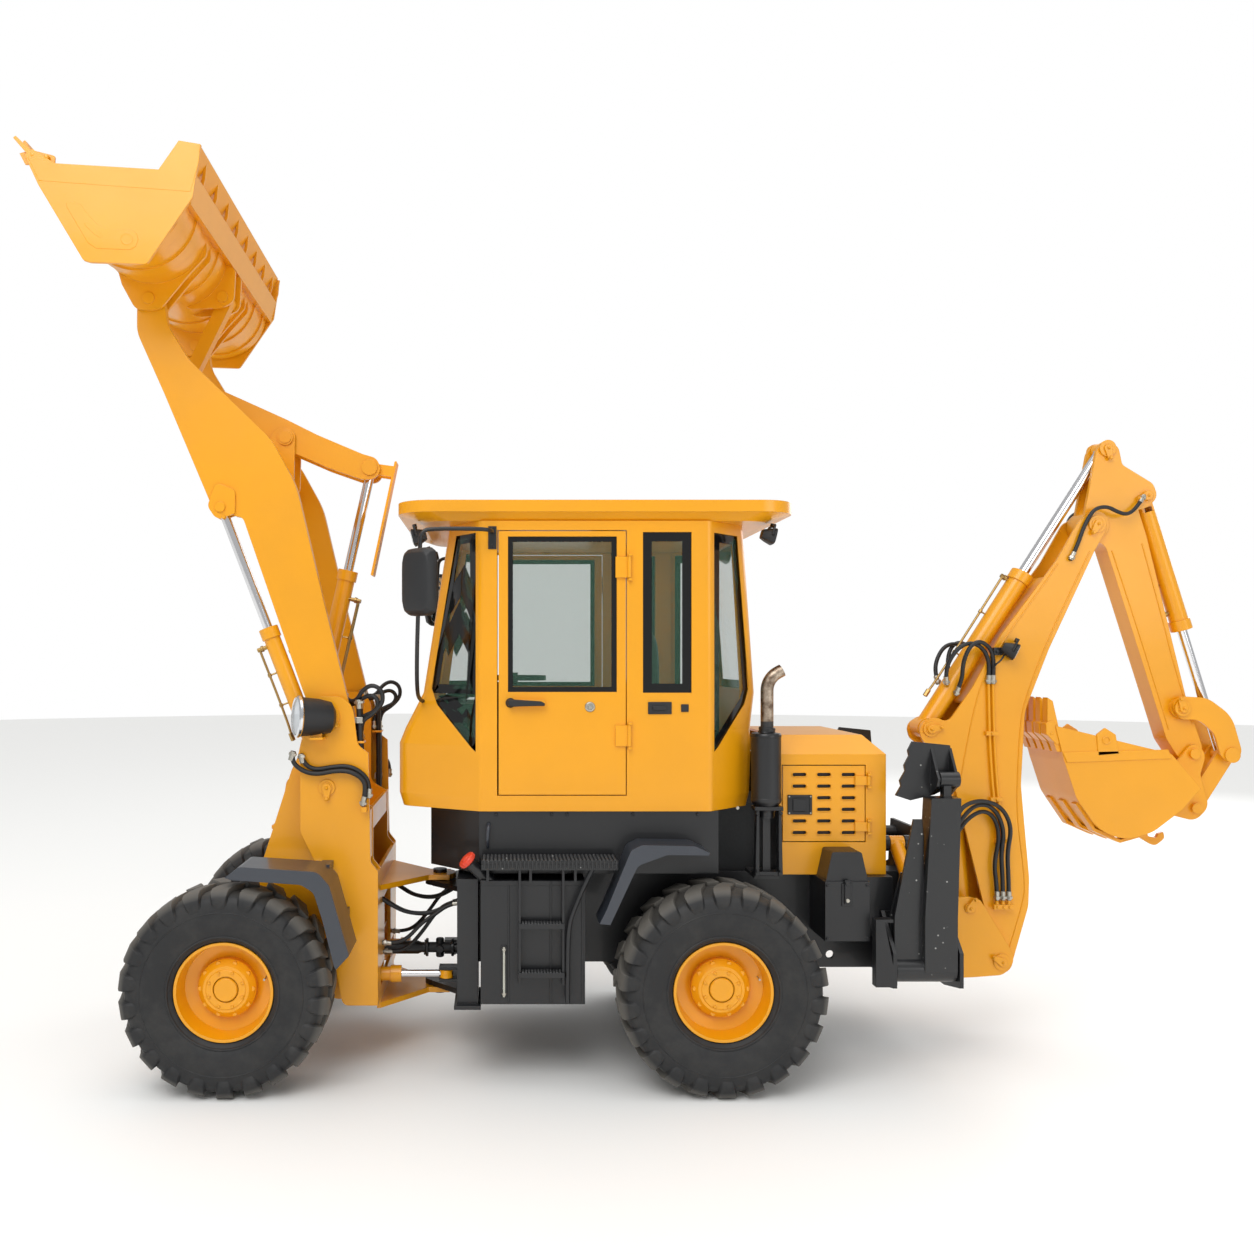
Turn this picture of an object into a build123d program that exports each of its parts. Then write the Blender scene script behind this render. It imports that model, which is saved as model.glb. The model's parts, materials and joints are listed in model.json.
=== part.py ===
"""Articulated backhoe loader: a front frame with loader arms and bucket, hinged to a rear frame
that carries the cab, the engine, two outriggers and the backhoe.

+X points to the rear, +Y to the machine's right, +Z up. The machine stands on its four wheels
at Z = 0. Sizes are in millimetres. Points on the machine's side are written (X, Z).
"""
from build123d import *
from math import atan2, cos, degrees, hypot, pi, radians, sin
import os

# ---------------------------------------------------------------- driving dimensions
LIP_X = -2425.0           # the loader bucket's cutting edge, the foremost point
LINK_REAR_X = 4284.2      # the backhoe's tipping link, the rearmost point
MIDDLE_X = (LIP_X + LINK_REAR_X) / 2

# wheels and axles
TYRE_R = 537.0            # 16/70-20 tyre
AXLE_Z = 537.0            # the axles' height in the drawing; the finished machine is lifted onto its tyres
TYRE_W = 390.0
TRACK = 1510.0            # between the tyres' middle planes
RIM_R = 268.0             # flange radius
FRONT_AXLE_X = -1403.0
REAR_AXLE_X = 1134.0
AXLE_TUBE_R = 78.0
HUB_FACE = 640.0          # |Y| of the axle flange that the wheel bolts to
RAIL_Z = AXLE_Z + 108     # the frames rest on the axles' seats here
TYRE_ROOM = 40.0          # from the tread to a fender
ROOM_DRAWN = 577.0        # the fenders are drawn round this radius and grow with the tyre

# centre hinge between the two frames
HINGE_X = -352.0
HINGE_PIN_R = 40.0
HINGE_LOW_Z = 300.0       # underside of the lower hinge plates
HINGE_HIGH_Z = 950.0      # underside of the upper hinge plates
HINGE_PLATE = 30.0

# steering cylinders, low down beside the centre hinge
STEER_Y = 330.0
STEER_Z = 470.0
STEER_BASE_X = -1040.0
STEER_EYE = (-300.0, 300.0)       # X and |Y| of the rod's eye

# tie-down holes
TIE_R = 22.0
TIE_FRONT = (290.0, 765.0)        # |Y|, Z in the front cross plate
TIE_REAR = (1820.0, 600.0)        # X, Z in the long beams

# loader tower: each arm's foot stands between an inner and an outer plate
ARM_Y = 455.0             # middle plane of each arm
ARM_T = 50.0
TOWER_GAP = 104.0
TOWER_PLATE = 16.0
TOWER_IN = ARM_Y - TOWER_GAP / 2 - TOWER_PLATE    # inner face of the inner plate
TOWER_OUT = ARM_Y + TOWER_GAP / 2 + TOWER_PLATE
WELD_GAP = 1.0            # between cross members that the towers hold side by side
EAR_R = 108.0             # round top of the tower
FENDER_Y = (600.0, 905.0)
FENDER_T = 14.0
FOOT = (-910.0, 1920.0)
LIFT_BASE = (-935.0, 1535.0)
LIFT_LUG = (-1520.0, 3055.0)
BUCKET_PIN = (-1905.0, 4185.0)
LOADER_PIN_R = 32.0

# tilt linkage in the middle plane
ROCKER_PIN = (-1240.0, 3510.0)
ROCKER_REAR = (-757.0, 3341.0)
ROCKER_FRONT = (-1865.0, 3809.0)
BUCKET_EAR = (-1610.0, 4330.0)
TILT_BASE = (-1175.0, 1490.0)
ROCKER_Y = 64.0           # inner face of each rocker plate; the tilt barrel passes between them
ROCKER_T = 20.0
LINK_Y = 34.0             # half thickness of the bucket link
EYE_GAP = 4.0             # side clearance of an eye between its cheeks
GUARD_Y = 57.0            # half width of the guard behind the tilt rod

CHEEK_Y = ROCKER_Y + ROCKER_T + 5.0       # the arms' rocker bracket stands outside the rocker
CHEEK_T = 20.0
CHEEK_R = 57.0
CROSS_TUBE = (-1335.0, 3235.0)
CROSS_TUBE_R = 85.0
ROCKER_PIN_R = 36.0

# loader bucket
BUCKET_W = 2000.0
BUCKET_SIDE_T = 18.0
SHELL_C = (-1885.0, 4565.0)
SHELL_R = 300.0
SHELL_T = 14.0
BAND_T = 10.0
BAND_W = 90.0
BAND_Y = (235.0, 690.0, BUCKET_W / 2 - 75)

# cab
CAB_Y = 705.0             # |Y| of the cab's side panels
CAB_WALL = 40.0
CAB_FLOOR_Z = 1430.0
CAB_TOP_Z = 2955.0
CAB_SIDE_X = (-105.0, 1105.0)     # where the side panels meet the angled corners
CAB_NOSE_X = (-420.0, 1395.0)     # front and rear faces at the waist
CAB_NOSE_Y = 455.0
WAIST_Z = 2045.0
ROOF_T = 62.0
ROOF_X = (-545.0, 1560.0)
ROOF_Y = 745.0
GLASS_T = 6.0
DOOR_X = (-15.0, 665.0)
DOOR_Z = (1512.0, 2905.0)
DOOR_T = 38.0
DOOR_GAP = 5.0
HINGE_OUT = 12.0          # from the door's edge and wall to the hinge pin
HINGE_R = 5.0
DOOR_HINGE_Z = (DOOR_Z[0] + 260, DOOR_Z[1] - 250)
DOOR_HINGE_H = 110.0
SKIRT_Z = AXLE_Z + TYRE_R + 26    # underside of the skirt below the cab, clear of the tyres

# rear frame, engine hood and outriggers
FRAME_Y = 400.0           # |Y| of the outer face of each long beam
FRAME_T = 20.0
FRAME_REAR_X = 2110.0
HOOD_X = (1512.0, 2095.0)
HOOD_Y = 500.0
HOOD_Z = (1060.0, 1812.0)
HOOD_CHAMFER = 100.0
HOOD_T = 12.0
HOOD_DOOR_X = (1530.0, 1985.0)
HOOD_DOOR_Z = (1235.0, 1655.0)
HOOD_DOOR_T = 10.0
HOOD_HINGE_Z = (HOOD_DOOR_Z[0] + 60, HOOD_DOOR_Z[1] - 110)
HOOD_HINGE_H = 50.0
EXHAUST = (1424.0, -585.0)        # X, Y of the stack
TAIL_BEND_R = 110.0
TAIL_BEND = 62.0
LADDER_Z = (600.0, 850.0)
BOX_X = (REAR_AXLE_X + TYRE_R + 39, 1945.0)       # battery box behind each rear wheel
TREAD_END = REAR_AXLE_X + 276.5 - 1.5 * TYRE_R    # the tread stops ahead of the fender
STAB_X = (2110.0, 2405.0)         # front and rear faces of the outrigger frame
STAB_T = 20.0
LEG_PIN = (700.0, 600.0)          # |Y|, Z of each outrigger's hinge
LEG_LENGTH = 1110.0
LEG_X = (2064.0, 2377.0)          # front and rear ends of the leg's hinge tube
WING_X = 2040.0                   # the outrigger frame's front plate steps forward outside |Y| of WING_Y
WING_Y = 577.0
BRACKET_X = 1950.0                # front of the open box ahead of each leg
LEG_CYL_BASE = (190.0, 1180.0)    # |Y|, Z
LEG_CYL_EYE = (665.0, 795.0)
LEG_CYL_X = 2257.0
SWING_X = 2532.0
SWING_Z = (470.0, 800.0)
SWING_PIN_R = 35.0

# backhoe, all in the middle plane
BOOM_FOOT = (2890.0, 485.0)
BOOM_CYL_BASE = (2705.0, 795.0)
BOOM_CYL_EYE = (2640.0, 1680.0)
DIPPER_CYL_BASE = (2490.0, 1825.0)
BOOM_TIP = (3452.0, 3010.0)
DIPPER_TOP = (3532.0, 3455.0)
BUCKET_CYL_BASE = (3765.0, 3180.0)
TIP_LINK_PIN = (3940.0, 1945.0)
HOE_PIN = (4022.0, 1680.0)
LINK_JOINT = (4230.0, 1674.0)
HOE_LINK_PIN = (4032.0, 1366.0)
BOOM_Y = 105.0            # half width of the boom
BOOM_PLATE = 16.0
DIPPER_Y = 65.0           # half width of the dipper
HOE_PIN_R = 30.0
HOE_BUCKET_Y = 210.0
TIP_Y = 93.0              # inner face of each tipping link
TIP_T = 16.0
HOE_LINK_Y = (38.0, 60.0)
EAR_Y = (70.0, 88.0)

FIT = 0.05                # radial clearance of a pin in its bore
CLEAR = 5.0               # between faces that move past each other
SEAT = 0.3                # between a wheel's hub and its axle


# ---------------------------------------------------------------- helpers
def side(sign):
    """+1 is the machine's right (+Y), -1 its left."""
    return 1.0 if sign > 0 else -1.0


def outline(corners):
    """A closed face in the XZ plane from (x, z) or (x, z, radius) corners."""
    corners = [(c[0], c[1], c[2] if len(c) > 2 else 0.0) for c in corners]
    count = len(corners)
    starts, ends, edges = [], [], []
    for i in range(count):
        before, here, after = corners[i - 1], corners[i], corners[(i + 1) % count]
        ax, az = before[0] - here[0], before[1] - here[1]
        bx, bz = after[0] - here[0], after[1] - here[1]
        la, lb = hypot(ax, az), hypot(bx, bz)
        ax, az, bx, bz = ax / la, az / la, bx / lb, bz / lb
        radius = here[2]
        half = 0.5 * abs(atan2(ax * bz - az * bx, ax * bx + az * bz))
        if radius <= 0 or half > 0.499 * pi:
            starts.append((here[0], here[1]))
            ends.append((here[0], here[1]))
            continue
        reach = min(radius * cos(half) / sin(half), 0.49 * la, 0.49 * lb)
        radius = reach * sin(half) / cos(half)
        first = (here[0] + ax * reach, here[1] + az * reach)
        last = (here[0] + bx * reach, here[1] + bz * reach)
        mx, mz = ax + bx, az + bz
        ml = hypot(mx, mz)
        off = radius / sin(half) - radius
        middle = (here[0] + mx / ml * off, here[1] + mz / ml * off)
        starts.append(first)
        ends.append(last)
        edges.append(ThreePointArc(first, middle, last))
    for i in range(count):
        p, q = ends[i - 1], starts[i]
        if hypot(p[0] - q[0], p[1] - q[1]) > 1e-6:
            edges.append(Line(p, q))
    return make_face(edges)


def between(face, y0, y1):
    """A face drawn in XZ, made solid from y0 to y1."""
    low, high = min(y0, y1), max(y0, y1)
    return extrude(Plane(origin=(0, high, 0), x_dir=(1, 0, 0), z_dir=(0, -1, 0)) * face, amount=high - low)


def plate(corners, y0, y1):
    return between(outline(corners), y0, y1)


def both(corners, y0, y1):
    """The same plate on the right and on the left."""
    face = outline(corners)
    return between(face, y0, y1) + between(face, -y1, -y0)


def disc(centre, radius, y0, y1):
    """A round bar along Y through an (x, z) point."""
    low, high = min(y0, y1), max(y0, y1)
    bar = Cylinder(radius, high - low, rotation=(90, 0, 0))
    return Pos(centre[0], (low + high) / 2, centre[1]) * bar


def discs(centre, radius, y0, y1):
    return disc(centre, radius, y0, y1) + disc(centre, radius, -y1, -y0)


def block(x, y, z):
    """A box from three (low, high) pairs."""
    centre = Pos((x[0] + x[1]) / 2, (y[0] + y[1]) / 2, (z[0] + z[1]) / 2)
    return centre * Box(x[1] - x[0], y[1] - y[0], z[1] - z[0])


def blocks(x, y, z):
    return block(x, y, z) + block(x, (-y[1], -y[0]), z)


def upright(x, y, radius, z0, z1):
    return Pos(x, y, (z0 + z1) / 2) * Cylinder(radius, z1 - z0)


def lengthwise(y, z, radius, x0, x1):
    """A round bar along X."""
    return Pos((x0 + x1) / 2, y, z) * Cylinder(radius, x1 - x0, rotation=(0, 90, 0))


def capsule(p, q, r0, r1):
    """A bar outline with a round end of its own radius at each (x, z) point."""
    dx, dz = q[0] - p[0], q[1] - p[1]
    length = hypot(dx, dz)
    tilt = atan2(dz, dx)
    spread = atan2((r0 - r1) / length, (1 - ((r0 - r1) / length) ** 2) ** 0.5)
    up, down = tilt + pi / 2 - spread, tilt - pi / 2 + spread

    def on(c, r, a):
        return (c[0] + r * cos(a), c[1] + r * sin(a))

    edges = [
        Line(on(p, r0, up), on(q, r1, up)),
        ThreePointArc(on(q, r1, up), on(q, r1, tilt), on(q, r1, down)),
        Line(on(q, r1, down), on(p, r0, down)),
        ThreePointArc(on(p, r0, down), on(p, r0, tilt + pi), on(p, r0, up)),
    ]
    return make_face(edges)


def rod_between(p, q, radius):
    """A round bar from one 3-D point to another."""
    along = Vector(*q) - Vector(*p)
    return Plane(origin=p, z_dir=along).location * Pos(0, 0, along.length / 2) * Cylinder(radius, along.length)


def ring_point(centre, radius, angle):
    return (centre[0] + radius * cos(radians(angle)), centre[1] + radius * sin(radians(angle)))


# ---------------------------------------------------------------- hydraulic cylinders
# Each row: barrel radius, rod radius, pin radius, eye half width at the barrel and at the rod,
# and the length from the barrel's pin to its open end.
CYLINDERS = {
    "lift": {"barrel": 45, "rod": 25, "pin": 30, "base_eye": 46, "rod_eye": 21, "length": 925},
    "tilt": {"barrel": 50, "rod": 28, "pin": 32, "base_eye": 40, "rod_eye": 59, "length": 1290},
    "steering": {"barrel": 38, "rod": 20, "pin": 20, "base_eye": 24, "rod_eye": 22, "length": 490},
    "boom": {"barrel": 52, "rod": 30, "pin": 30, "base_eye": 60, "rod_eye": 40, "length": 700},
    "dipper": {"barrel": 57, "rod": 30, "pin": 30, "base_eye": 60, "rod_eye": 36, "length": 1075},
    "bucket": {"barrel": 50, "rod": 26, "pin": 30, "base_eye": 36, "rod_eye": 33, "length": 815},
    "outrigger": {"barrel": 40, "rod": 22, "pin": 25, "base_eye": 40, "rod_eye": 30, "length": 470},
}
BARREL_WALL = 8.0
GLAND = 60.0
COLLAR = 8.0              # the gland nut stands this much proud of the barrel
ROD_GAP = 0.06            # radial clearance of the rod in its gland


def cylinder_parts(name, base, tip, rod_inside=150.0):
    """Barrel and rod along the line from base to tip, both 3-D points; pins lie across the line."""
    size = CYLINDERS[name]
    along = Vector(*tip) - Vector(*base)
    reach = along.length
    across = Vector(0, 1, 0) if abs(along.Y) < 1e-6 else Vector(1, 0, 0)
    if abs(along.Z) < 1e-6:
        across = Vector(0, 0, 1)
    place = Plane(origin=base, x_dir=across, z_dir=along).location
    r_out, r_rod, r_pin = size["barrel"], size["rod"], size["pin"]
    r_in = r_out - BARREL_WALL
    open_end = size["length"]
    eye_r = r_out + 2
    bottom = eye_r + 14
    body = Pos(0, 0, open_end / 2) * Cylinder(r_out, open_end)
    nut = Pos(0, 0, open_end - GLAND / 2) * Cylinder(r_out + COLLAR, GLAND)
    bore = Pos(0, 0, (bottom + open_end - GLAND) / 2) * Cylinder(r_in, open_end - GLAND - bottom)
    mouth = Pos(0, 0, open_end - GLAND / 2) * Cylinder(r_rod + ROD_GAP, GLAND + 2)
    eye = Cylinder(eye_r, 2 * size["base_eye"], rotation=(0, 90, 0))
    hole = Cylinder(r_pin + FIT, 2 * r_out + 300, rotation=(0, 90, 0))
    low_trim = Pos(0, 0, -eye_r) * Box(4 * eye_r, 4 * eye_r, 2 * eye_r)
    body = body + nut - low_trim
    half = size["base_eye"]
    if half < r_out:
        for s in (1, -1):
            body -= Pos(s * (half + r_out), 0, eye_r / 2 + 20) * Box(2 * r_out, 4 * r_out, eye_r + 42)
    barrel = body + eye - bore - mouth - hole
    start = open_end - rod_inside
    end_r = max(r_rod + 12, 38)
    stick = Pos(0, 0, (start + reach) / 2) * Cylinder(r_rod, reach - start)
    half = size["rod_eye"]
    if half < r_rod:
        for s in (1, -1):
            stick -= Pos(s * (half + r_rod), 0, reach) * Box(2 * r_rod, 4 * r_rod, 2.2 * end_r)
    rod = stick + Pos(0, 0, reach) * Cylinder(end_r, 2 * half, rotation=(0, 90, 0))
    return barrel.moved(place), rod.moved(place)


def at(point, y=0.0):
    return (point[0], y, point[1])


# ---------------------------------------------------------------- wheels
def tyre(x, sign):
    """A ring with a flat tread, rounded shoulders and full sidewalls."""
    half = TYRE_W / 2
    bead = RIM_R - 14
    points = [(bead, -half + 62), (TYRE_R - 150, -half), (TYRE_R - 55, -half + 12), (TYRE_R, -half + 42)]
    profile = Polyline(*points, *[(r, -w) for r, w in reversed(points)], close=True)
    ring = revolve(Plane.XY * make_face(profile), Axis.Y)
    return Pos(x, sign * TRACK / 2, AXLE_Z) * ring


def rim(x, sign):
    """Dished wheel: barrel with flanges, set-in disc and a bolted hub."""
    half = TYRE_W / 2
    r_bead = RIM_R - 15
    seat = half - 60
    profile = [
        (r_bead - 8, -seat - 12), (RIM_R - 14.3, -seat - 12), (RIM_R - 14.3, seat + 12),
        (r_bead - 14, seat + 12),
        (r_bead - 30, 40), (150, 20), (150, 60), (118, 92), (0, 92), (0, 0), (r_bead - 40, 0),
        (r_bead - 40, -40),
    ]
    face = make_face(Polyline(*profile, close=True))
    wheel = revolve(Plane.XY * face, Axis.Y)
    if sign < 0:
        wheel = wheel.rotate(Axis.Z, 180)
    return Pos(x, sign * TRACK / 2, AXLE_Z) * wheel


def axle(x):
    """Beam axle with its differential housing and an end flange at each wheel."""
    z = AXLE_Z
    beam = disc((x, z), AXLE_TUBE_R, -HUB_FACE, HUB_FACE)
    bowl = disc((x, z), 165, -110, 110)
    flanges = discs((x, z), 112, HUB_FACE - 40, HUB_FACE)
    stubs = discs((x, z), 60, HUB_FACE, TRACK / 2 - SEAT)
    seats = blocks((x - 70, x + 70), (330, 400), (z, z + 108))
    pinion = lengthwise(0, z, 60, x, x + 230) if x < 0 else lengthwise(0, z, 60, x - 230, x)
    return beam + bowl + flanges + stubs + seats + pinion


# ---------------------------------------------------------------- front frame
def loader_towers():
    """Twin plates on each side that carry the loader arm and its lift cylinder."""
    inner = [
        (FOOT[0] - EAR_R, FOOT[1] - 20, 30), (FOOT[0] - EAR_R, FOOT[1] + EAR_R, EAR_R),
        (FOOT[0] + EAR_R, FOOT[1] + EAR_R, EAR_R), (FOOT[0] + EAR_R, CAB_FLOOR_Z + 40, 60),
        (-700, CAB_FLOOR_Z - 20),
        (-700, 1130, 40), (-660, 1080, 20), (-660, 355), (-920, 355, 40), (-1010, RAIL_Z, 60), (-1520, RAIL_Z),
        (-1520, 860, 60), (-1405, 955, 80), (-1315, 1095, 60), (-1150, 1615, 60), (-1080, 1765, 60),
    ]
    outer = [
        (FOOT[0] - EAR_R, FOOT[1] - 20, 30), (FOOT[0] - EAR_R, FOOT[1] + EAR_R, EAR_R),
        (FOOT[0] + EAR_R, FOOT[1] + EAR_R, EAR_R), (-770, 1765, 60), (-712, 1720), (-700, 1130, 40),
        (-660, 1080, 20), (-660, 355), (-850, 355, 40), (-900, 620, 40), (-985, 1100, 60), (-1080, 1295, 60),
        (-1080, 1765, 60),
    ]
    towers = both(inner, TOWER_IN, TOWER_IN + TOWER_PLATE)
    towers += both(outer, TOWER_OUT - TOWER_PLATE, TOWER_OUT)
    back = (TOWER_IN + TOWER_PLATE, TOWER_OUT - TOWER_PLATE)
    towers += blocks((-720, -704), back, (1150, CAB_FLOOR_Z - 20))
    towers += blocks((-676, -660), back, (355, 1075))
    towers += blocks((-1070, -720), back, (1290, 1306))
    # loader pins, each with a head outside the tower
    for centre, radius in ((FOOT, LOADER_PIN_R), (LIFT_BASE, CYLINDERS["lift"]["pin"])):
        towers += discs(centre, radius, TOWER_IN - 12, TOWER_OUT + 14)
        towers += discs(centre, radius + 14, TOWER_OUT, TOWER_OUT + 10)
    return towers


def front_frame():
    """Cross members welded between the towers, the hinge plates and the cylinder brackets.

    Members that don't join each other keep a gap of WELD_GAP; the towers hold them all.
    """
    wall = (-TOWER_IN, TOWER_IN)
    g = WELD_GAP
    # tower floor, its back wall, front cross plate and the upright plate behind the axle
    frame = block((-1080 + g, -724 - g), wall, (1290, 1310)) + block((-724, -704), wall, (1290, CAB_FLOOR_Z - 20))
    frame += block((-1520, -1490), wall, (RAIL_Z, 855)) - disc((FRONT_AXLE_X, AXLE_Z), 175, -120, 120)
    frame += block((-1200, -1180), wall, (RAIL_Z + 16 + g, 1290 - g))
    # rail plate, with the steering brackets below it
    rail = block((-1490 + g, -680 - g), wall, (RAIL_Z, RAIL_Z + 16)) - block((-1120, -760), (-200, 200), (500, 800))
    frame += rail - disc((FRONT_AXLE_X, AXLE_Z), 175, -120, 120) + steering_bracket_front()
    # hinge wall and its two plates
    hinge = block((-680, -660), wall, (HINGE_LOW_Z, 1075)) - block((-700, -600), (-180, 180), (430, 880))
    hinge -= blocks((-700, -600), (225, 372), (STEER_Z - 54, STEER_Z + 54))
    for z in (HINGE_LOW_Z, HINGE_HIGH_Z):
        ear = Plane.XY.offset(z) * make_face(
            Polyline((-680, -TOWER_IN), (-660, -TOWER_IN), (HINGE_X - 60, -95), (HINGE_X + 60, -95),
                     (HINGE_X + 60, 95), (HINGE_X - 60, 95), (-660, TOWER_IN), (-680, TOWER_IN), close=True))
        hinge += extrude(ear, amount=HINGE_PLATE)
        hinge += upright(HINGE_X, 0, 95, z, z + HINGE_PLATE)
        hinge -= upright(HINGE_X, 0, HINGE_PIN_R + FIT, z - 10, z + HINGE_PLATE + 10)
    # tilt cylinder bracket: two cheeks on a beam between the towers
    cheek = [(-1195, 1300), (-1082, 1300), (-1115, 1530, 40), (-1175, 1560, 40), (-1240, 1530, 50),
             (-1262, 1400, 40), (-1240, 1300)]
    half = CYLINDERS["tilt"]["base_eye"] + EYE_GAP
    tilt = block((-1262, -1080 - g), wall, (1290, 1310)) + both(cheek, half, half + 20)
    tilt += disc(TILT_BASE, CYLINDERS["tilt"]["pin"], -half - 30, half + 30)
    for s in (1, -1):
        frame -= lengthwise(s * TIE_FRONT[0], TIE_FRONT[1], TIE_R, -1540, -1470)
    return frame + hinge + tilt


def steering_bracket_front():
    """Lugs that carry each steering barrel's upright pin, below the cross members."""
    made = None
    gap = CYLINDERS["steering"]["base_eye"] + EYE_GAP
    for s in (1, -1):
        arm = block((STEER_BASE_X - 40, STEER_BASE_X + 30), sorted((s * (STEER_Y - 40), s * TOWER_IN)),
                    (STEER_Z + gap, STEER_Z + gap + 18))
        web = block((STEER_BASE_X - 40, STEER_BASE_X + 30), sorted((s * (TOWER_IN - 14), s * TOWER_IN)),
                    (STEER_Z + gap, RAIL_Z + 4))
        low = block((STEER_BASE_X - 40, STEER_BASE_X + 30), sorted((s * (STEER_Y - 40), s * TOWER_IN)),
                    (STEER_Z - gap - 18, STEER_Z - gap))
        pin = upright(STEER_BASE_X, s * STEER_Y, CYLINDERS["steering"]["pin"], STEER_Z - gap - 24,
                      STEER_Z + gap + 24)
        back = block((STEER_BASE_X - 56, STEER_BASE_X - 40), sorted((s * (STEER_Y - 40), s * TOWER_IN)),
                     (STEER_Z - gap - 18, RAIL_Z + 4))
        piece = arm + low + pin + back + web
        made = piece if made is None else made + piece
    return made


def steering_cylinder(sign):
    base = (STEER_BASE_X, sign * STEER_Y, STEER_Z)
    tip = (STEER_EYE[0], sign * STEER_EYE[1], STEER_Z)
    return cylinder_parts("steering", base, tip, rod_inside=240)


def round_wheel(axle_x, corners):
    """Corners drawn round a wheel, moved out or in to keep their room to the tyre."""
    k = (TYRE_R + TYRE_ROOM) / ROOM_DRAWN
    return [(axle_x + (c[0] - axle_x) * k, AXLE_Z + (c[1] - AXLE_Z) * k, *c[2:]) for c in corners]


def front_fenders():
    """Bent plates over the front wheels, each on two stays from the tower."""
    top = [
        (-1395, 1120), (-1325, 1175, 30), (-925, 1150, 70), (-865, 1080, 60), (-765, 725), (-830, 655),
        (-840, 668), (-900, 905, 40), (-945, 1045, 60), (-1010, 1085, 60), (-1360, 1108),
    ]
    body = both(round_wheel(FRONT_AXLE_X, top), *FENDER_Y)
    hollow = [
        (-1378, 1100), (-1322, 1158, 25), (-930, 1133, 60), (-880, 1073, 50), (-782, 722), (-845, 600),
        (-1400, 600),
    ]
    body -= both(round_wheel(FRONT_AXLE_X, hollow), FENDER_Y[0] - 1, FENDER_Y[1] - FENDER_T)
    for x, z in (((-960, -900), (1105, 1142)), ((-835, -812), (850, 890))):
        stay = [(x[0], z[0]), (x[1], z[0]), (x[1], z[1]), (x[0], z[1])]
        body += both(round_wheel(FRONT_AXLE_X, stay), TOWER_OUT, 660)
    return body


# ---------------------------------------------------------------- loader
def loader_arm():
    near = [
        (FOOT[0] + 96, FOOT[1] + 30, 20), (FOOT[0] + 88, FOOT[1] - 94, 90), (FOOT[0] - 75, FOOT[1] - 92, 90),
        (-1075, 2060, 120), (-1400, 3000, 40), (-1455, 3010, 30), (-1575, 3075, 60), (-1830, 3680, 500),
        (BUCKET_PIN[0] - 72, 4010, 200), (BUCKET_PIN[0] - 70, BUCKET_PIN[1] + 66, 66),
        (BUCKET_PIN[0] + 66, BUCKET_PIN[1] + 66, 60), (BUCKET_PIN[0] + 95, 4045, 120), (-1700, 3865, 300),
        (-1400, 3575, 400), (-1250, 3430, 300), (-1110, 3175, 500), (-965, 2560, 200),
    ]
    arm = both(near, ARM_Y - ARM_T / 2, ARM_Y + ARM_T / 2)
    boss = TOWER_GAP / 2 - EYE_GAP
    arm += discs(FOOT, 92, ARM_Y - boss, ARM_Y + boss)
    arm += discs(BUCKET_PIN, 62, ARM_Y - ARM_T / 2 - 4, ARM_Y + ARM_T / 2 + 4)
    for centre in (FOOT, BUCKET_PIN):
        arm -= discs(centre, LOADER_PIN_R + FIT, ARM_Y - 200, ARM_Y + 200)
    # lift cylinder lug: two cheeks with the rod's eye between them
    room = CYLINDERS["lift"]["rod_eye"] + EYE_GAP
    lug = outline([(-1440, 3020, 20), (-1540, 2985, 45), (-1590, 3060, 45), (-1545, 3190, 30),
                   (-1440, 3150, 30)])
    for s in (1, -1):
        for y0, y1 in ((ARM_Y - room - 14, ARM_Y - room), (ARM_Y + room, ARM_Y + room + 14)):
            arm += between(lug, s * y0, s * y1)
    arm -= discs(LIFT_LUG, 46, ARM_Y - room, ARM_Y + room)
    slot = [(LIFT_LUG[0] - 60, LIFT_LUG[1] + 46), (LIFT_LUG[0], LIFT_LUG[1] + 46),
            (LIFT_LUG[0] + 46, LIFT_LUG[1] - 20),
            (-1385, 2960), (-1450, 2800), (-1620, 2960)]
    arm -= both(slot, ARM_Y - room, ARM_Y + room)
    for y0, y1 in ((ARM_Y - room - 20, ARM_Y - room - 14), (ARM_Y + room + 14, ARM_Y + room + 24)):
        arm += discs(LIFT_LUG, 28, y0, y1)
    # cross tube, and a bracket whose cheeks stand outside the rocker's plates
    arm += disc(CROSS_TUBE, CROSS_TUBE_R, -ARM_Y + ARM_T / 2, ARM_Y - ARM_T / 2)
    x, z = ROCKER_PIN
    cheek = [
        (x - CHEEK_R, z + CHEEK_R, CHEEK_R), (x + CHEEK_R, z + CHEEK_R, CHEEK_R), (x + 48, z - 280, 30),
        (CROSS_TUBE[0] + 60, CROSS_TUBE[1] - 70, 30), (CROSS_TUBE[0] - 60, CROSS_TUBE[1] - 70, 60),
        (CROSS_TUBE[0] - 80, CROSS_TUBE[1] + 60, 60),
    ]
    arm += both(cheek, CHEEK_Y, CHEEK_Y + CHEEK_T)
    arm += disc(ROCKER_PIN, ROCKER_PIN_R, -CHEEK_Y - CHEEK_T - 14, CHEEK_Y + CHEEK_T + 14)
    arm += discs(ROCKER_PIN, 46, CHEEK_Y + CHEEK_T, CHEEK_Y + CHEEK_T + 10)
    return arm


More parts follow.
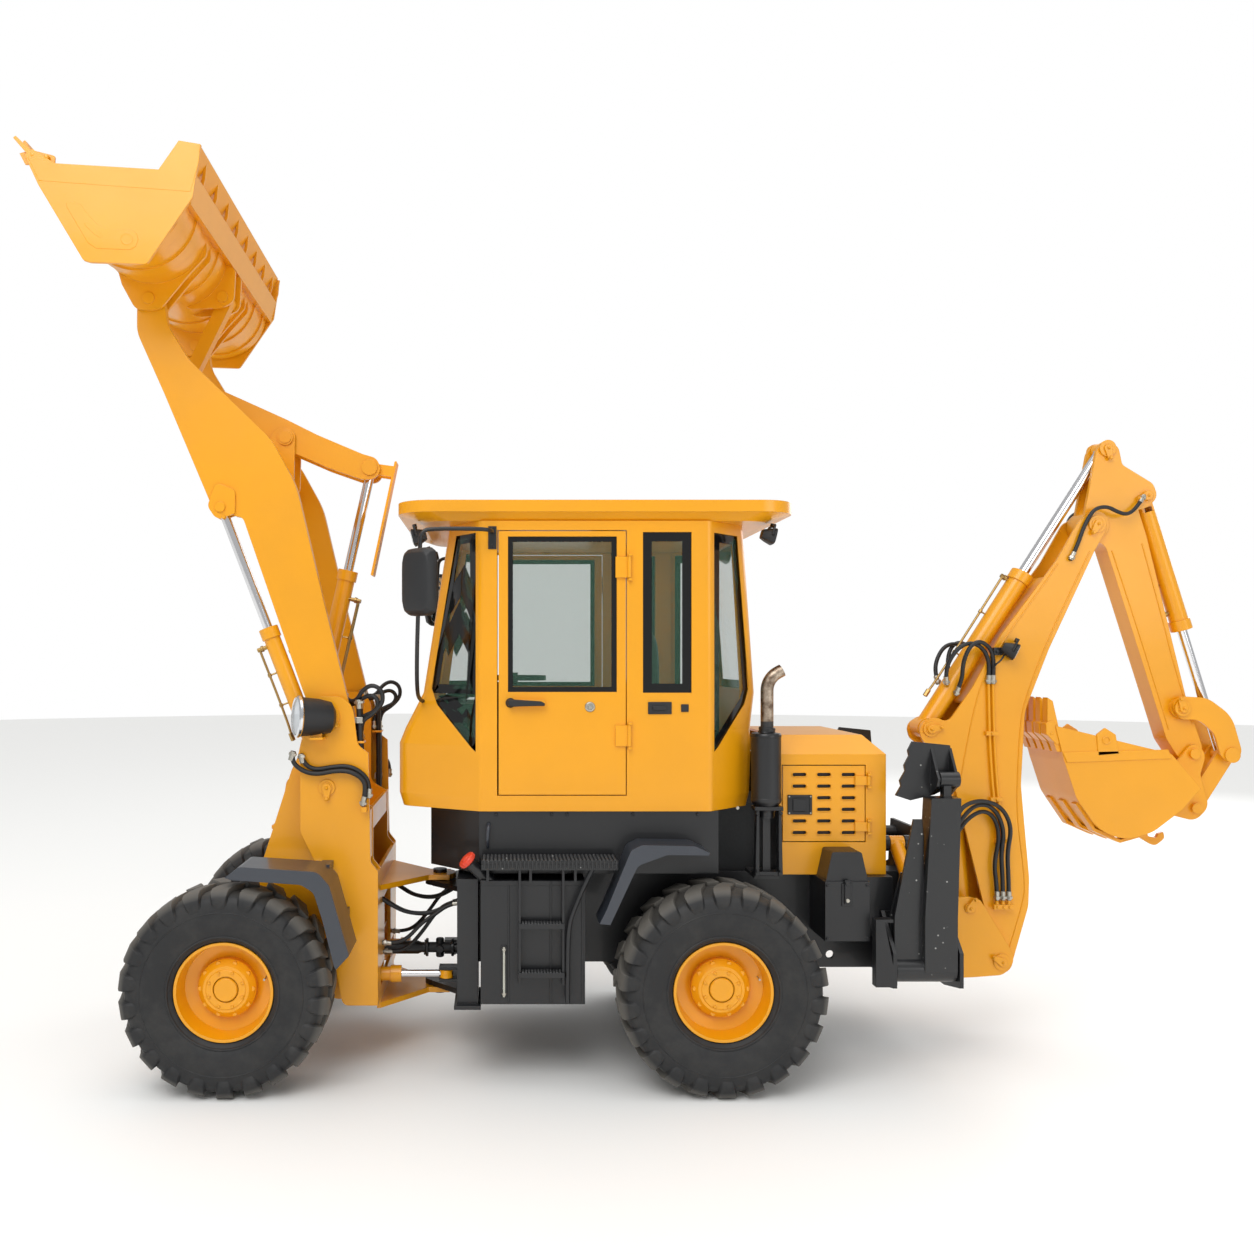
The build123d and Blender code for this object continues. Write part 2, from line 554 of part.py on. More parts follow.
def rocker():
    """Two plates side by side, far enough apart for the tilt barrel and the bucket link."""
    front, rear = ROCKER_FRONT, ROCKER_REAR
    edge = [
        (rear[0] + 67, rear[1] - 11, 60), (rear[0] + 42, rear[1] + 54, 60), (-800, 3420, 150),
        (-1060, 3530, 300),
        (-1240, 3620, 200), (-1640, 3800, 300), (front[0] - 25, front[1] + 66, 60),
        (front[0] - 72, front[1], 60),
        (front[0] - 10, front[1] - 68, 60), (-1560, 3640, 300), (-1230, 3440, 200), (-1000, 3340, 300),
        (-800, 3270, 100), (rear[0] + 37, rear[1] - 66, 60),
    ]
    pair = both(edge, ROCKER_Y, ROCKER_Y + ROCKER_T)
    for centre, radius in ((rear, 46), (front, 50)):
        pair += discs(centre, radius, ROCKER_Y + ROCKER_T, ROCKER_Y + ROCKER_T + 10)
    pair += disc((-1560, 3712), 24, -ROCKER_Y, ROCKER_Y)
    pair += discs(ROCKER_PIN, 56, ROCKER_Y - 14, ROCKER_Y)
    return pair - disc(ROCKER_PIN, ROCKER_PIN_R + FIT, -300, 300)


def bucket_link():
    """Flat bar with a boss at each end; the side that meets the bucket's back is cut slimmer."""
    half = ROCKER_Y - CLEAR
    bar = between(capsule(BUCKET_EAR, ROCKER_FRONT, 46, 46), -LINK_Y, LINK_Y)
    dx, dz = ROCKER_FRONT[0] - BUCKET_EAR[0], ROCKER_FRONT[1] - BUCKET_EAR[1]
    length = hypot(dx, dz)
    dx, dz = dx / length, dz / length

    def at_bar(along, off):
        return (BUCKET_EAR[0] + dx * along + dz * off, BUCKET_EAR[1] + dz * along - dx * off)

    scoop = [(30, 90), (30, 46), (75, 30), (420, 30), (490, 46), (490, 90)]
    bar -= plate([(*at_bar(along, off), 20 if off < 40 else 0) for along, off in scoop], -100, 100)
    for centre in (BUCKET_EAR, ROCKER_FRONT):
        bar += disc(centre, 46, -half, half)
    return bar - disc(BUCKET_EAR, LOADER_PIN_R + FIT, -200, 200)


def loader_bucket():
    floor_dir = (cos(radians(121.0)), sin(radians(121.0)))
    normal = (-floor_dir[1], floor_dir[0])
    foot = (SHELL_C[0] + normal[0] * SHELL_R, SHELL_C[1] + normal[1] * SHELL_R)
    lip = (foot[0] + floor_dir[0] * 470, foot[1] + floor_dir[1] * 470)
    low = ring_point(SHELL_C, SHELL_R, 285)
    top = ring_point(SHELL_C, SHELL_R, 12)
    guard = (-1500, 4800)
    inner_r = SHELL_R - SHELL_T

    def inside(p):
        return (p[0] - normal[0] * SHELL_T, p[1] - normal[1] * SHELL_T)

    edges = [
        Line(lip, foot), ThreePointArc(foot, low, top), Line(top, guard),
        Line(guard, (guard[0] - SHELL_T, guard[1] + 2)),
        Line((guard[0] - SHELL_T, guard[1] + 2), ring_point(SHELL_C, inner_r, 12)),
        ThreePointArc(ring_point(SHELL_C, inner_r, 12), ring_point(SHELL_C, inner_r, 285), inside(foot)),
        Line(inside(foot), inside(lip)), Line(inside(lip), lip),
    ]
    half = BUCKET_W / 2
    shell = between(make_face(edges), -half + BUCKET_SIDE_T, half - BUCKET_SIDE_T)
    side_plate = [
        (-2368, 4740), (-2300, 4592), (-2075, 4215, 20), (-2040, 4205, 20), (-1760, 4195, 30), (-1530, 4530),
        (-1490, 4790),
        (-1590, 4805), (-1690, 4660), (-2205, 4690), (-2330, 4770),
    ]
    bucket = shell + both(side_plate, half - BUCKET_SIDE_T, half)
    edge_plate = [
        (lip[0] + 60, lip[1] - 104), (-2425, 4825), (-2412, 4835), (lip[0] + 88, lip[1] - 88),
    ]
    bucket += plate(edge_plate, -half, half)
    # hinge plates on both sides of each arm's tip, with the pin through them
    hanger = [
        (BUCKET_PIN[0] - 70, BUCKET_PIN[1] - 62, 60), (BUCKET_PIN[0] + 60, BUCKET_PIN[1] - 62, 60),
        (-1700, 4300, 60),
        (-1590, 4420, 40), (-1600, 4560), (-1885, 4300), (-2090, 4400), (-2050, 4260, 40),
    ]
    reach = ARM_T / 2 + 4 + CLEAR
    hang_face = outline(hanger)
    cavity = disc(SHELL_C, inner_r, -half, half)
    for s in (1, -1):
        for y0, y1 in ((ARM_Y - reach - 18, ARM_Y - reach), (ARM_Y + reach, ARM_Y + reach + 18)):
            bucket += between(hang_face, s * y0, s * y1) - cavity
        bucket += disc(BUCKET_PIN, LOADER_PIN_R, s * (ARM_Y - reach - 26), s * (ARM_Y + reach + 26))
    # ears for the tilt link
    ear = [
        (BUCKET_EAR[0] - 10, BUCKET_EAR[1] - 62, 60), (BUCKET_EAR[0] + 66, BUCKET_EAR[1] - 30, 60),
        (-1535, 4480, 30),
        (-1590, 4560), (-1850, 4290), (-1800, 4262, 20),
    ]
    gap = ROCKER_Y - CLEAR + EYE_GAP
    bucket += both(ear, gap, gap + 20) - cavity
    bucket += disc(BUCKET_EAR, LOADER_PIN_R, -gap - 30, gap + 30)
    # wear bands round the back, side cutters at the lip
    band = disc(SHELL_C, SHELL_R + BAND_T, 0, BAND_W) - disc(SHELL_C, SHELL_R - 2, -1, BAND_W + 1)
    wedge = [SHELL_C] + [ring_point(SHELL_C, 3 * SHELL_R, angle) for angle in (218, 270, 318, 358)]
    band = band & plate(wedge, 0, BAND_W)
    for y in BAND_Y:
        bucket += (Pos(0, y - BAND_W / 2, 0) * band) + (Pos(0, -y - BAND_W / 2, 0) * band)
    cutter = [(-2400, 4755), (-2372, 4700), (-2225, 4700, 12), (-2222, 4742, 12), (-2340, 4772)]
    bucket += both(cutter, half - BUCKET_SIDE_T - 10, half - BUCKET_SIDE_T)
    # stiffening beam across the back
    beam = [(-1600, 4520), (-1545, 4500), (-1512, 4640), (-1570, 4640)]
    bucket += plate(beam, -half + BUCKET_SIDE_T, half - BUCKET_SIDE_T) - cavity
    return bucket


def lift_cylinders():
    right = cylinder_parts("lift", at(LIFT_BASE, ARM_Y), at(LIFT_LUG, ARM_Y), rod_inside=180)
    left = cylinder_parts("lift", at(LIFT_BASE, -ARM_Y), at(LIFT_LUG, -ARM_Y), rod_inside=180)
    return right[0] + left[0], right[1] + left[1]


def tilt_cylinder():
    """The rod carries a guard plate that slides past the barrel on the cab's side."""
    barrel, rod = cylinder_parts("tilt", at(TILT_BASE), at(ROCKER_REAR), rod_inside=160)
    guard = plate([(-614, 3380, 6), (-600, 3384, 6), (-740, 2714, 6), (-754, 2718, 6)], -GUARD_Y, GUARD_Y)
    stay = [(-757, 3310), (-757, 3372), (-612, 3352), (-626, 3290)]
    bracket = both(stay, GUARD_Y - 12, GUARD_Y)
    return barrel, rod + guard + bracket


# ---------------------------------------------------------------- rear frame
def rear_frame():
    beam = [
        (-215, 560, 30), (-215, 1040), (-180, 1060), (FRAME_REAR_X, 1060), (FRAME_REAR_X, 530), (1560, 530, 30),
        (1420, RAIL_Z, 40), (840, RAIL_Z, 40), (700, 560, 40),
    ]
    frame = both(beam, FRAME_Y - FRAME_T, FRAME_Y)
    inside = (-FRAME_Y + FRAME_T, FRAME_Y - FRAME_T)
    for x, low, high in ((-215, 560, 1040), (460, 560, 1040), (1480, 560, 690), (FRAME_REAR_X - 20, 540, 1040)):
        frame += block((x, x + 20), inside, (low, high))
    for x in (1300, 1850):
        frame += blocks((x, x + 80), (250, FRAME_Y - FRAME_T), (690, 720))
    frame -= lengthwise(0, AXLE_Z, 75, -300, 900)
    frame += block((-215, 500), inside, (1040, 1060))
    # hinge plates and the centre pin
    for z0, z1 in ((HINGE_LOW_Z + HINGE_PLATE + CLEAR, None), (HINGE_HIGH_Z - CLEAR - HINGE_PLATE, None)):
        ear = make_face(Polyline((-195, -300), (HINGE_X - 40, -85), (HINGE_X - 40, 85), (-195, 300),
                                 close=True))
        frame += extrude(Plane.XY.offset(z0) * ear, amount=HINGE_PLATE)
        frame += upright(HINGE_X, 0, 85, z0, z0 + HINGE_PLATE)
    frame += upright(HINGE_X, 0, HINGE_PIN_R, HINGE_LOW_Z - 20, HINGE_LOW_Z + HINGE_PLATE + CLEAR + 10)
    frame += upright(HINGE_X, 0, HINGE_PIN_R, HINGE_HIGH_Z - CLEAR - 10, HINGE_HIGH_Z + HINGE_PLATE + 20)
    frame += block((-215, -195), (-300, 300), (HINGE_LOW_Z + HINGE_PLATE + CLEAR, 1040))
    frame -= block((-230, -180), (-90, 90), (455, 620))
    # steering eye lugs
    gap = CYLINDERS["steering"]["rod_eye"] + EYE_GAP
    for s in (1, -1):
        for z0 in (STEER_Z + gap, STEER_Z - gap - 16):
            frame += block((STEER_EYE[0] - 40, -195), sorted((s * 262, s * 338)), (z0, z0 + 16))
        frame += block((-215, -195), sorted((s * 262, s * 385)), (STEER_Z - gap - 16, 620))
    # cab platform: a closed skirt under the cab
    z = (SKIRT_Z, CAB_FLOOR_Z)
    plan = Polyline((-380, -395), (-380, 395), (-110, 685), (1150, 685), (1150, -685), (-110, -685), close=True)
    skirt = extrude(Plane.XY.offset(z[0]) * make_face(plan), amount=z[1] - z[0])
    hollow = Polyline((-360, -385), (-360, 385), (-102, 665), (1130, 665), (1130, -665), (-102, -665),
                      close=True)
    skirt -= extrude(Plane.XY.offset(z[0] - 1) * make_face(hollow), amount=z[1] - z[0] - 15)
    posts = blocks((0, 60), (FRAME_Y - FRAME_T, FRAME_Y), (1060, z[1] - 15))
    posts += blocks((1000, 1060), (FRAME_Y - FRAME_T, FRAME_Y), (1060, z[1] - 15))
    frame -= disc(TIE_REAR, TIE_R, -600, 600)
    return frame + skirt + posts


def side_boxes():
    """Tank, ladder and tread ahead of each rear wheel, battery box behind it."""
    tank = block((-100, 440), (FRAME_Y, 790), (445, 1085))
    post = block((-225, -115), (FRAME_Y, 705), (420, 1075))
    post += block((-240, -100), (FRAME_Y, 740), (400, 420))
    tread = block((-95, TREAD_END), (685, 860), (1180, 1200))
    for x in (-70, 150, 380):
        tread += block((x, x + 14), (685, 830), (1085, 1180))
    ladder = block((95, 107), (790, 850), (560, 1180)) + block((318, 330), (790, 850), (560, 1180))
    for z in LADDER_Z:
        ladder += block((95, 330), (800, 862), (z, z + 26))
    a, b = BOX_X
    box = block(BOX_X, (FRAME_Y, 690), (745, HOOD_Z[0] - 2))
    lid = plate([(a + 6, 1058), (b - 6, 1058), (b - 40, 1212, 14), (a + 40, 1212, 14)], HOOD_Y + 6, 680)
    corner = block((b + 20, FRAME_REAR_X), (FRAME_Y, 560), (745, HOOD_Z[0] - 2))
    whole = tank + post + tread + ladder + box + lid + corner
    return whole + mirror(whole, Plane.XZ)


def rear_fenders():
    top = [
        (505, 885), (540, 955), (665, 1258, 40), (720, 1285, 30), (990, 1280, 60), (1065, 1245), (1060, 1232),
        (850, 1235, 60),
        (700, 1180, 60), (560, 880),
    ]
    return both(round_wheel(REAR_AXLE_X, top), 685, 900)


def drive_train():
    """One closed mass: crankcase, cylinder head and gearbox, bolted down onto the rear axle."""
    case = block((1200, 2020), (-300, 300), (720, 1420))
    case += block((1560, 1960), (-340, 340), (1420, 1640)) + block((1000, 1200), (-180, 180), (720, 1090))
    case += block((1060, 1190), (-100, 100), (AXLE_Z + 120, 730))
    return case + axle(REAR_AXLE_X)


def hood():
    x0, x1 = HOOD_X
    z0, z1 = HOOD_Z
    c = HOOD_CHAMFER

    def body(inset, low):
        front = x0 - (1 if inset else 0)
        top, rear, wide = z1 - inset, x1 - inset, HOOD_Y - inset
        across = Polyline((-wide, low), (-wide, z1 - c), (-HOOD_Y + c, top), (HOOD_Y - c, top), (wide, z1 - c),
                          (wide, low), close=True)
        plane = Plane(origin=(front, 0, 0), x_dir=(0, 1, 0), z_dir=(1, 0, 0))
        along = [(front, low), (front, top), (x1 - c, top), (rear, z1 - c), (rear, low)]
        return extrude(plane * make_face(across), amount=rear - front) & plate(along, -HOOD_Y, HOOD_Y)

    shell = body(0, z0) - body(HOOD_T, z0 - 1)
    shell -= blocks((HOOD_DOOR_X[0], HOOD_DOOR_X[1]), (HOOD_Y - 60, HOOD_Y + 60), HOOD_DOOR_Z)
    for z in HOOD_HINGE_Z:
        post = hinge_post(HOOD_DOOR_X[1], HOOD_Y, z, HOOD_HINGE_H)
        shell += post + mirror(post, Plane.XZ)
    return shell


def hood_door(sign):
    """Louvred side door, hinged along its rear edge."""
    g = DOOR_GAP
    door = block((HOOD_DOOR_X[0] + g, HOOD_DOOR_X[1] - g), (HOOD_Y - HOOD_DOOR_T, HOOD_Y),
                 (HOOD_DOOR_Z[0] + g, HOOD_DOOR_Z[1] - g))
    slot_w, slot_h = 78.0, 22.0
    for row in range(6):
        for column in range(3):
            if column == 0 and row in (2, 3):
                continue
            x = HOOD_DOOR_X[0] + 95 + column * 133
            z = HOOD_DOOR_Z[0] + 52 + row * 63
            door -= Pos(x, HOOD_Y, z) * Box(slot_w, 60, slot_h)
    for z in HOOD_HINGE_Z:
        door += knuckle(HOOD_DOOR_X[1], HOOD_Y, z, HOOD_HINGE_H)
    if sign < 0:
        door = mirror(door, Plane.XZ)
    return door


# ---------------------------------------------------------------- cab
def cab_plan(z, grow, nose_front, nose_rear):
    """Eight-sided plan with rounded corners at height z; grow moves the walls outward."""
    y = CAB_Y + grow
    n = CAB_NOSE_Y + grow * 0.6
    front, rear = nose_front - grow, nose_rear + grow
    a, b = CAB_SIDE_X
    corners = [(front, -n, 90), (front, n, 90), (a, y, 40), (b, y, 40), (rear, n, 90), (rear, -n, 90),
               (b, -y, 40), (a, -y, 40)]
    return Plane.XY.offset(z) * outline([(px, py, max(r + grow, 4)) for px, py, r in corners])


CAB_SECTIONS = (
    # height, front face X, rear face X
    (CAB_FLOOR_Z, -530.0, 1350.0),
    (1500.0, -552.0, 1368.0),
    (1770.0, -552.0, 1378.0),
    (1850.0, -520.0, 1372.0),
    (WAIST_Z, CAB_NOSE_X[0], CAB_NOSE_X[1]),
    (CAB_TOP_Z, -275.0, 1330.0),
)


def cab_body(grow):
    """Tub with a full belly at each end, leaning in above the waist."""
    inner = min(grow, 0)
    levels = [list(row) for row in CAB_SECTIONS]
    levels[0][0] -= inner
    levels[-1][0] += inner
    body = None
    for low, high in zip(levels, levels[1:]):
        slab = loft([cab_plan(low[0], grow, low[1], low[2]), cab_plan(high[0], grow, high[1], high[2])],
                    ruled=True)
        body = slab if body is None else body + slab
    return body


def cab_openings():
    """Solids that cut the cab's doors and windows."""
    cut = []
    for s in (1, -1):
        y = sorted((s * (CAB_Y - 90), s * (CAB_Y + 90)))
        cut.append(block(DOOR_X, y, DOOR_Z))
        cut.append(block((750, 1005), y, (2052, 2895)))
    return cut


def corner_cut(front):
    """The front and rear glass: windscreen and the two angled quarter lights, cut above the waist."""
    z0, z1 = WAIST_Z + 15, CAB_TOP_Z - 75
    x = (-700, -150) if front else (1160, 1700)
    return block(x, (-(CAB_NOSE_Y - 60), CAB_NOSE_Y - 60), (z0, z1))


QUARTERS = {
    # front and rear quarter lights: side-view corners, cut through the angled panels
    "front": [(-128, 2895), (-235, 2895), (-372, 2075, 40), (-340, 1985, 60), (-150, 1760, 30), (-128, 1740)],
    "rear": [(1128, 2895), (1285, 2895), (1352, 2075, 40), (1325, 1985, 60), (1150, 1760, 30), (1128, 1740)],
}


def cab_shell():
    shell = cab_body(0) - cab_body(-CAB_WALL)
    for piece in cab_openings():
        shell -= piece
    shell -= corner_cut(True)
    shell -= corner_cut(False)
    for corners in QUARTERS.values():
        for s in (1, -1):
            shell -= plate(corners, s * (CAB_NOSE_Y + 22), s * (CAB_Y + 100))
    for z in DOOR_HINGE_Z:
        post = hinge_post(DOOR_X[1], CAB_Y, z, DOOR_HINGE_H)
        shell += post + mirror(post, Plane.XZ)
    return shell


def cab_glass():
    """Fixed panes, let into the middle of the wall."""
    pane = cab_body(-12) - cab_body(-12 - GLASS_T)
    keep = corner_cut(True) + corner_cut(False)
    for piece in cab_openings()[1::2]:
        keep += piece
    for corners in QUARTERS.values():
        for s in (1, -1):
            keep += plate(corners, s * (CAB_NOSE_Y + 22), s * (CAB_Y + 100))
    return pane & keep


def roof():
    r = 190.0
    plan = RectangleRounded(ROOF_X[1] - ROOF_X[0], 2 * ROOF_Y, r)
    top = extrude(Plane.XY.offset(CAB_TOP_Z + 42) * plan, amount=ROOF_T)
    under = RectangleRounded(ROOF_X[1] - ROOF_X[0] - 260, 2 * ROOF_Y - 110, r - 40)
    skirt = loft([Plane.XY.offset(CAB_TOP_Z) * under, Plane.XY.offset(CAB_TOP_Z + 42) * RectangleRounded(
        ROOF_X[1] - ROOF_X[0] - 20, 2 * ROOF_Y - 20, r - 10)])
    return Pos((ROOF_X[0] + ROOF_X[1]) / 2, 0, 0) * (top + skirt)


def knuckle(edge_x, wall_y, z, height):
    """Door half of a hinge: a bored barrel on a leaf that stands off the wall."""
    x, y = edge_x + HINGE_OUT, wall_y + HINGE_OUT + 3
    half = block((edge_x - 60, x), (wall_y + 5, wall_y + 12), (z, z + height))
    half += block((edge_x - 60, edge_x - 12), (wall_y, wall_y + 5), (z, z + height))
    return half + upright(x, y, 10, z, z + height) - upright(x, y, HINGE_R + FIT, z - 5, z + height + 5)


def hinge_post(edge_x, wall_y, z, height):
    """Wall half of a hinge: two lugs with the pin between them."""
    x, y = edge_x + HINGE_OUT, wall_y + HINGE_OUT + 3
    post = upright(x, y, HINGE_R, z - 16, z + height + 16)
    for z0, z1 in ((z - 16, z - 3), (z + height + 3, z + height + 16)):
        post += block((x - 6, x + 14), (wall_y, y + 8), (z0, z1))
    return post


def door(sign):
    """Cab door frame with its window opening."""
    g = DOOR_GAP
    leaf = block((DOOR_X[0] + 8, DOOR_X[1] - g), (CAB_Y - DOOR_T, CAB_Y), (DOOR_Z[0] + g, DOOR_Z[1] - g))
    leaf -= block((42, 613), (CAB_Y - 60, CAB_Y + 60), (2056, 2872))
    for z in DOOR_HINGE_Z:
        leaf += knuckle(DOOR_X[1], CAB_Y, z, DOOR_HINGE_H)
    leaf += block((45, 235), (CAB_Y, CAB_Y + 32), (1985, 2015))
    if sign < 0:
        leaf = mirror(leaf, Plane.XZ)
    return leaf


def door_glass(sign):
    pane = block((42 + FIT, 613 - FIT), (CAB_Y - 22, CAB_Y - 22 + GLASS_T), (2056 + FIT, 2872 - FIT))
    return pane if sign > 0 else mirror(pane, Plane.XZ)


def seat():
    base = block((430, 830), (-230, 230), (1560, 1640))
    column = block((560, 740), (-120, 120), (CAB_FLOOR_Z + CAB_WALL, 1560))
    cushion = block((400, 860), (-240, 240), (1640, 1760))
    back = block((800, 920), (-230, 230), (1760, 2400))
    return base + column + cushion + back


def consoles():
    column = block((-120, 60), (-90, 90), (CAB_FLOOR_Z + CAB_WALL, 2095))
    dash = block((-300, -120), (-330, 330), (CAB_FLOOR_Z + CAB_WALL, 1980))
    wheel = Pos(60, 0, 2120) * (Cylinder(210, 28) - Cylinder(180, 40) + Box(380, 30, 20) + Cylinder(45, 60))
    levers = block((1000, 1160), (-300, 300), (CAB_FLOOR_Z + CAB_WALL, 1850))
    return column + dash + wheel + levers


def exhaust():
    x, y = EXHAUST
    stack = upright(x, y, 78, 1470, 1825) + upright(x, y, 40, 1380, 1470)
    stack += upright(x + 5, y, 34, 1825, 2060)
    bend = Plane(origin=(x + 5, y, 2060), z_dir=(0, 0, 1)) * Circle(34)
    stack += revolve(bend, Axis((x + 5 + TAIL_BEND_R, y, 2060), (0, 1, 0)), TAIL_BEND)
    tip = (x + 5 + TAIL_BEND_R * (1 - cos(radians(TAIL_BEND))), y, 2060 + TAIL_BEND_R * sin(radians(TAIL_BEND)))
    lean = Vector(sin(radians(TAIL_BEND)), 0, cos(radians(TAIL_BEND)))
    stack += rod_between(tip, tuple(Vector(*tip) + lean * 25), 34)
    foot = block((x - 70, x + 60), (-620, 10 - FRAME_Y), (1060, 1080))
    foot += block((x - 20, x + 20), (y - 12, y + 12), (1080, 1380))
    return stack + foot


# ---------------------------------------------------------------- outriggers and backhoe carrier
def stabilizer_frame():
    """Two plates across the rear; outside the hood the front one steps forward round the legs."""
    x0, x1 = STAB_X
    end = LEG_PIN[0] + 70
    edge = [(end, 520), (end, 700), (560, 900), (300, 1000), (260, 1260)]
    whole = edge + [(-y, z) for y, z in reversed(edge)] + [(-560, 480), (560, 480)]
    wide = make_face(Polyline(*whole, close=True))
    plan = Plane(origin=(x0, 0, 0), x_dir=(0, 1, 0), z_dir=(1, 0, 0))
    frame = extrude(plan.offset(x1 - x0 - STAB_T) * wide, amount=STAB_T)
    front = extrude(plan * wide, amount=STAB_T)
    wing = front.moved(Location((WING_X - x0, 0, 0)))
    frame += front & block((x0, x1), (-WING_Y, WING_Y), (0, 1400))
    for s in (1, -1):
        outer = block((WING_X, x1), sorted((s * WING_Y, s * end)), (0, 1400))
        frame += wing & outer
        frame += block((WING_X, x0 + STAB_T), sorted((s * WING_Y, s * (WING_Y - 16))), (480, 880))
        # open box ahead of each leg's hinge
        far = s * (end - 60)
        frame += plate([(BRACKET_X, 526), (WING_X, 526), (WING_X, 640), (WING_X - 45, 861), (BRACKET_X, 861)],
                       s * end, s * (end - 16))
        frame += block((BRACKET_X, BRACKET_X + 16), sorted((s * end, far)), (526, 861))
        frame += block((BRACKET_X, WING_X), sorted((s * end, far)), (861, 877))
        frame += block((BRACKET_X, WING_X + 5), sorted((s * end, far)), (526, 542))
    frame += block((x0 + STAB_T, x1 - STAB_T), (-400, 400), (480, 500))
    frame += block((x0 + STAB_T, x1 - STAB_T), (-90, 90), (500, 1000))
    for s in (1, -1):
        frame += lengthwise(s * LEG_PIN[0], LEG_PIN[1], 30, WING_X - 30, x1 + 10)
        frame += lengthwise(s * LEG_PIN[0], LEG_PIN[1], 52, WING_X - 14, WING_X)
        frame += lengthwise(s * LEG_CYL_BASE[0], LEG_CYL_BASE[1], CYLINDERS["outrigger"]["pin"], x0 - 10,
                            x1 + 10)
        room = CYLINDERS["outrigger"]["base_eye"] + EYE_GAP
        for a, b in ((x0 + STAB_T, LEG_CYL_X - room), (LEG_CYL_X + room, x1 - STAB_T)):
            frame += lengthwise(s * LEG_CYL_BASE[0], LEG_CYL_BASE[1], 45, a, b)
    # lugs and pin that carry the swing post
    for z0, z1 in ((SWING_Z[0] - 35, SWING_Z[0] - CLEAR), (SWING_Z[1] + CLEAR, SWING_Z[1] + 35)):
        frame += block((x1, SWING_X), (-80, 80), (z0, z1)) + upright(SWING_X, 0, 80, z0, z1)
    frame += upright(SWING_X, 0, SWING_PIN_R, SWING_Z[0] - 45, SWING_Z[1] + 45)
    return frame


def outrigger(sign):
    """Leg with its hinge tube, cylinder crank and foot pad, folded up against the frame."""
    y, z = LEG_PIN
    x0, x1 = LEG_X
    tube = lengthwise(y, z, 62, x0, x1)
    # hollow column that leans to the rear, with a stiffening plate on its front
    column = [(x1 - 170, z), (x1, z), (x1, z + 280), (x1 + 18, z + 905), (x1 - 136, z + 905),
              (x1 - 170, z + 280)]
    inside = [(x1 - 156, z + 300), (x1 - 14, z + 300), (x1 + 2, z + 880), (x1 - 122, z + 880)]
    leg = plate(column, y - 55, y + 65) - plate(inside, y - 41, y + 51)
    stiffener = [
        (x0, z - 30), (x1 - 160, z - 30), (x1 - 160, z + 700), (x0 + 145, z + 790), (x0 + 99, z + 790),
        (x0 + 4, z + 300), (x0, z + 280),
    ]
    leg += plate(stiffener, y + 5, y + 21)
    leg += plate(stiffener[:2] + [(x1 - 160, z + 500), (x0 + 55, z + 500), stiffener[-2], stiffener[-1]],
                 y - 55, y - 41)
    # foot pad on its pivot tube, toothed along the front edge
    top = z + 998
    pivot = (y + 6, top)
    leg += block((x1 - 60, x1 - 20), (y - 20, y + 32), (z + 890, top))
    leg += lengthwise(*pivot, 41, x1 - 78, x1 + 24)
    sole = [
        (x0 + 122, z + 1192), (x1 + 8, z + 1172), (x1 + 26, z + 962), (x1 - 76, z + 910), (x0 + 110, z + 880),
        (x0 + 33, z + 905), (x0 + 62, z + 955), (x0 + 55, z + 985), (x0 + 84, z + 1035), (x0 + 78, z + 1065),
        (x0 + 104, z + 1115), (x0 + 98, z + 1145),
    ]
    leg += plate(sole, y - 75, y - 55)
    for x in (x1 - 96, x1 + 2):
        rib = Plane(origin=(x, 0, 0), x_dir=(0, 1, 0), z_dir=(1, 0, 0)) * make_face(
            Polyline((y - 57, top + 160), (y - 57, top - 90), (y + 30, top - 36), (y + 46, top + 6),
                     (y + 20, top + 40),
                     close=True))
        leg += extrude(rib, amount=14)
    half = CYLINDERS["outrigger"]["rod_eye"] + EYE_GAP
    crank = None
    lever = [
        (LEG_CYL_EYE[0] - 45, LEG_CYL_EYE[1] + 20), (LEG_CYL_EYE[0] - 20, LEG_CYL_EYE[1] + 50),
        (y - 50, LEG_CYL_EYE[1] + 110), (y - 50, LEG_CYL_EYE[1] - 110),
        (LEG_CYL_EYE[0] - 20, LEG_CYL_EYE[1] - 45),
    ]
    plan = Plane(origin=(0, 0, 0), x_dir=(0, 1, 0), z_dir=(1, 0, 0))
    for a in (LEG_CYL_X - half - 16, LEG_CYL_X + half):
        piece = extrude(plan.offset(a) * make_face(Polyline(*lever, close=True)), amount=16)
        crank = piece if crank is None else crank + piece
    whole = tube + leg + crank - lengthwise(y, z, 30 + FIT, x0 - 50, x1 + 50)
    whole -= block((LEG_CYL_X - half, LEG_CYL_X + half), (y - 56, y + 48), (z + 54, LEG_CYL_EYE[1] + 90))
    return whole if sign > 0 else mirror(whole, Plane.XZ)


def outrigger_cylinder(sign):
    base = (LEG_CYL_X, sign * LEG_CYL_BASE[0], LEG_CYL_BASE[1])
    tip = (LEG_CYL_X, sign * LEG_CYL_EYE[0], LEG_CYL_EYE[1])
    return cylinder_parts("outrigger", base, tip, rod_inside=390)


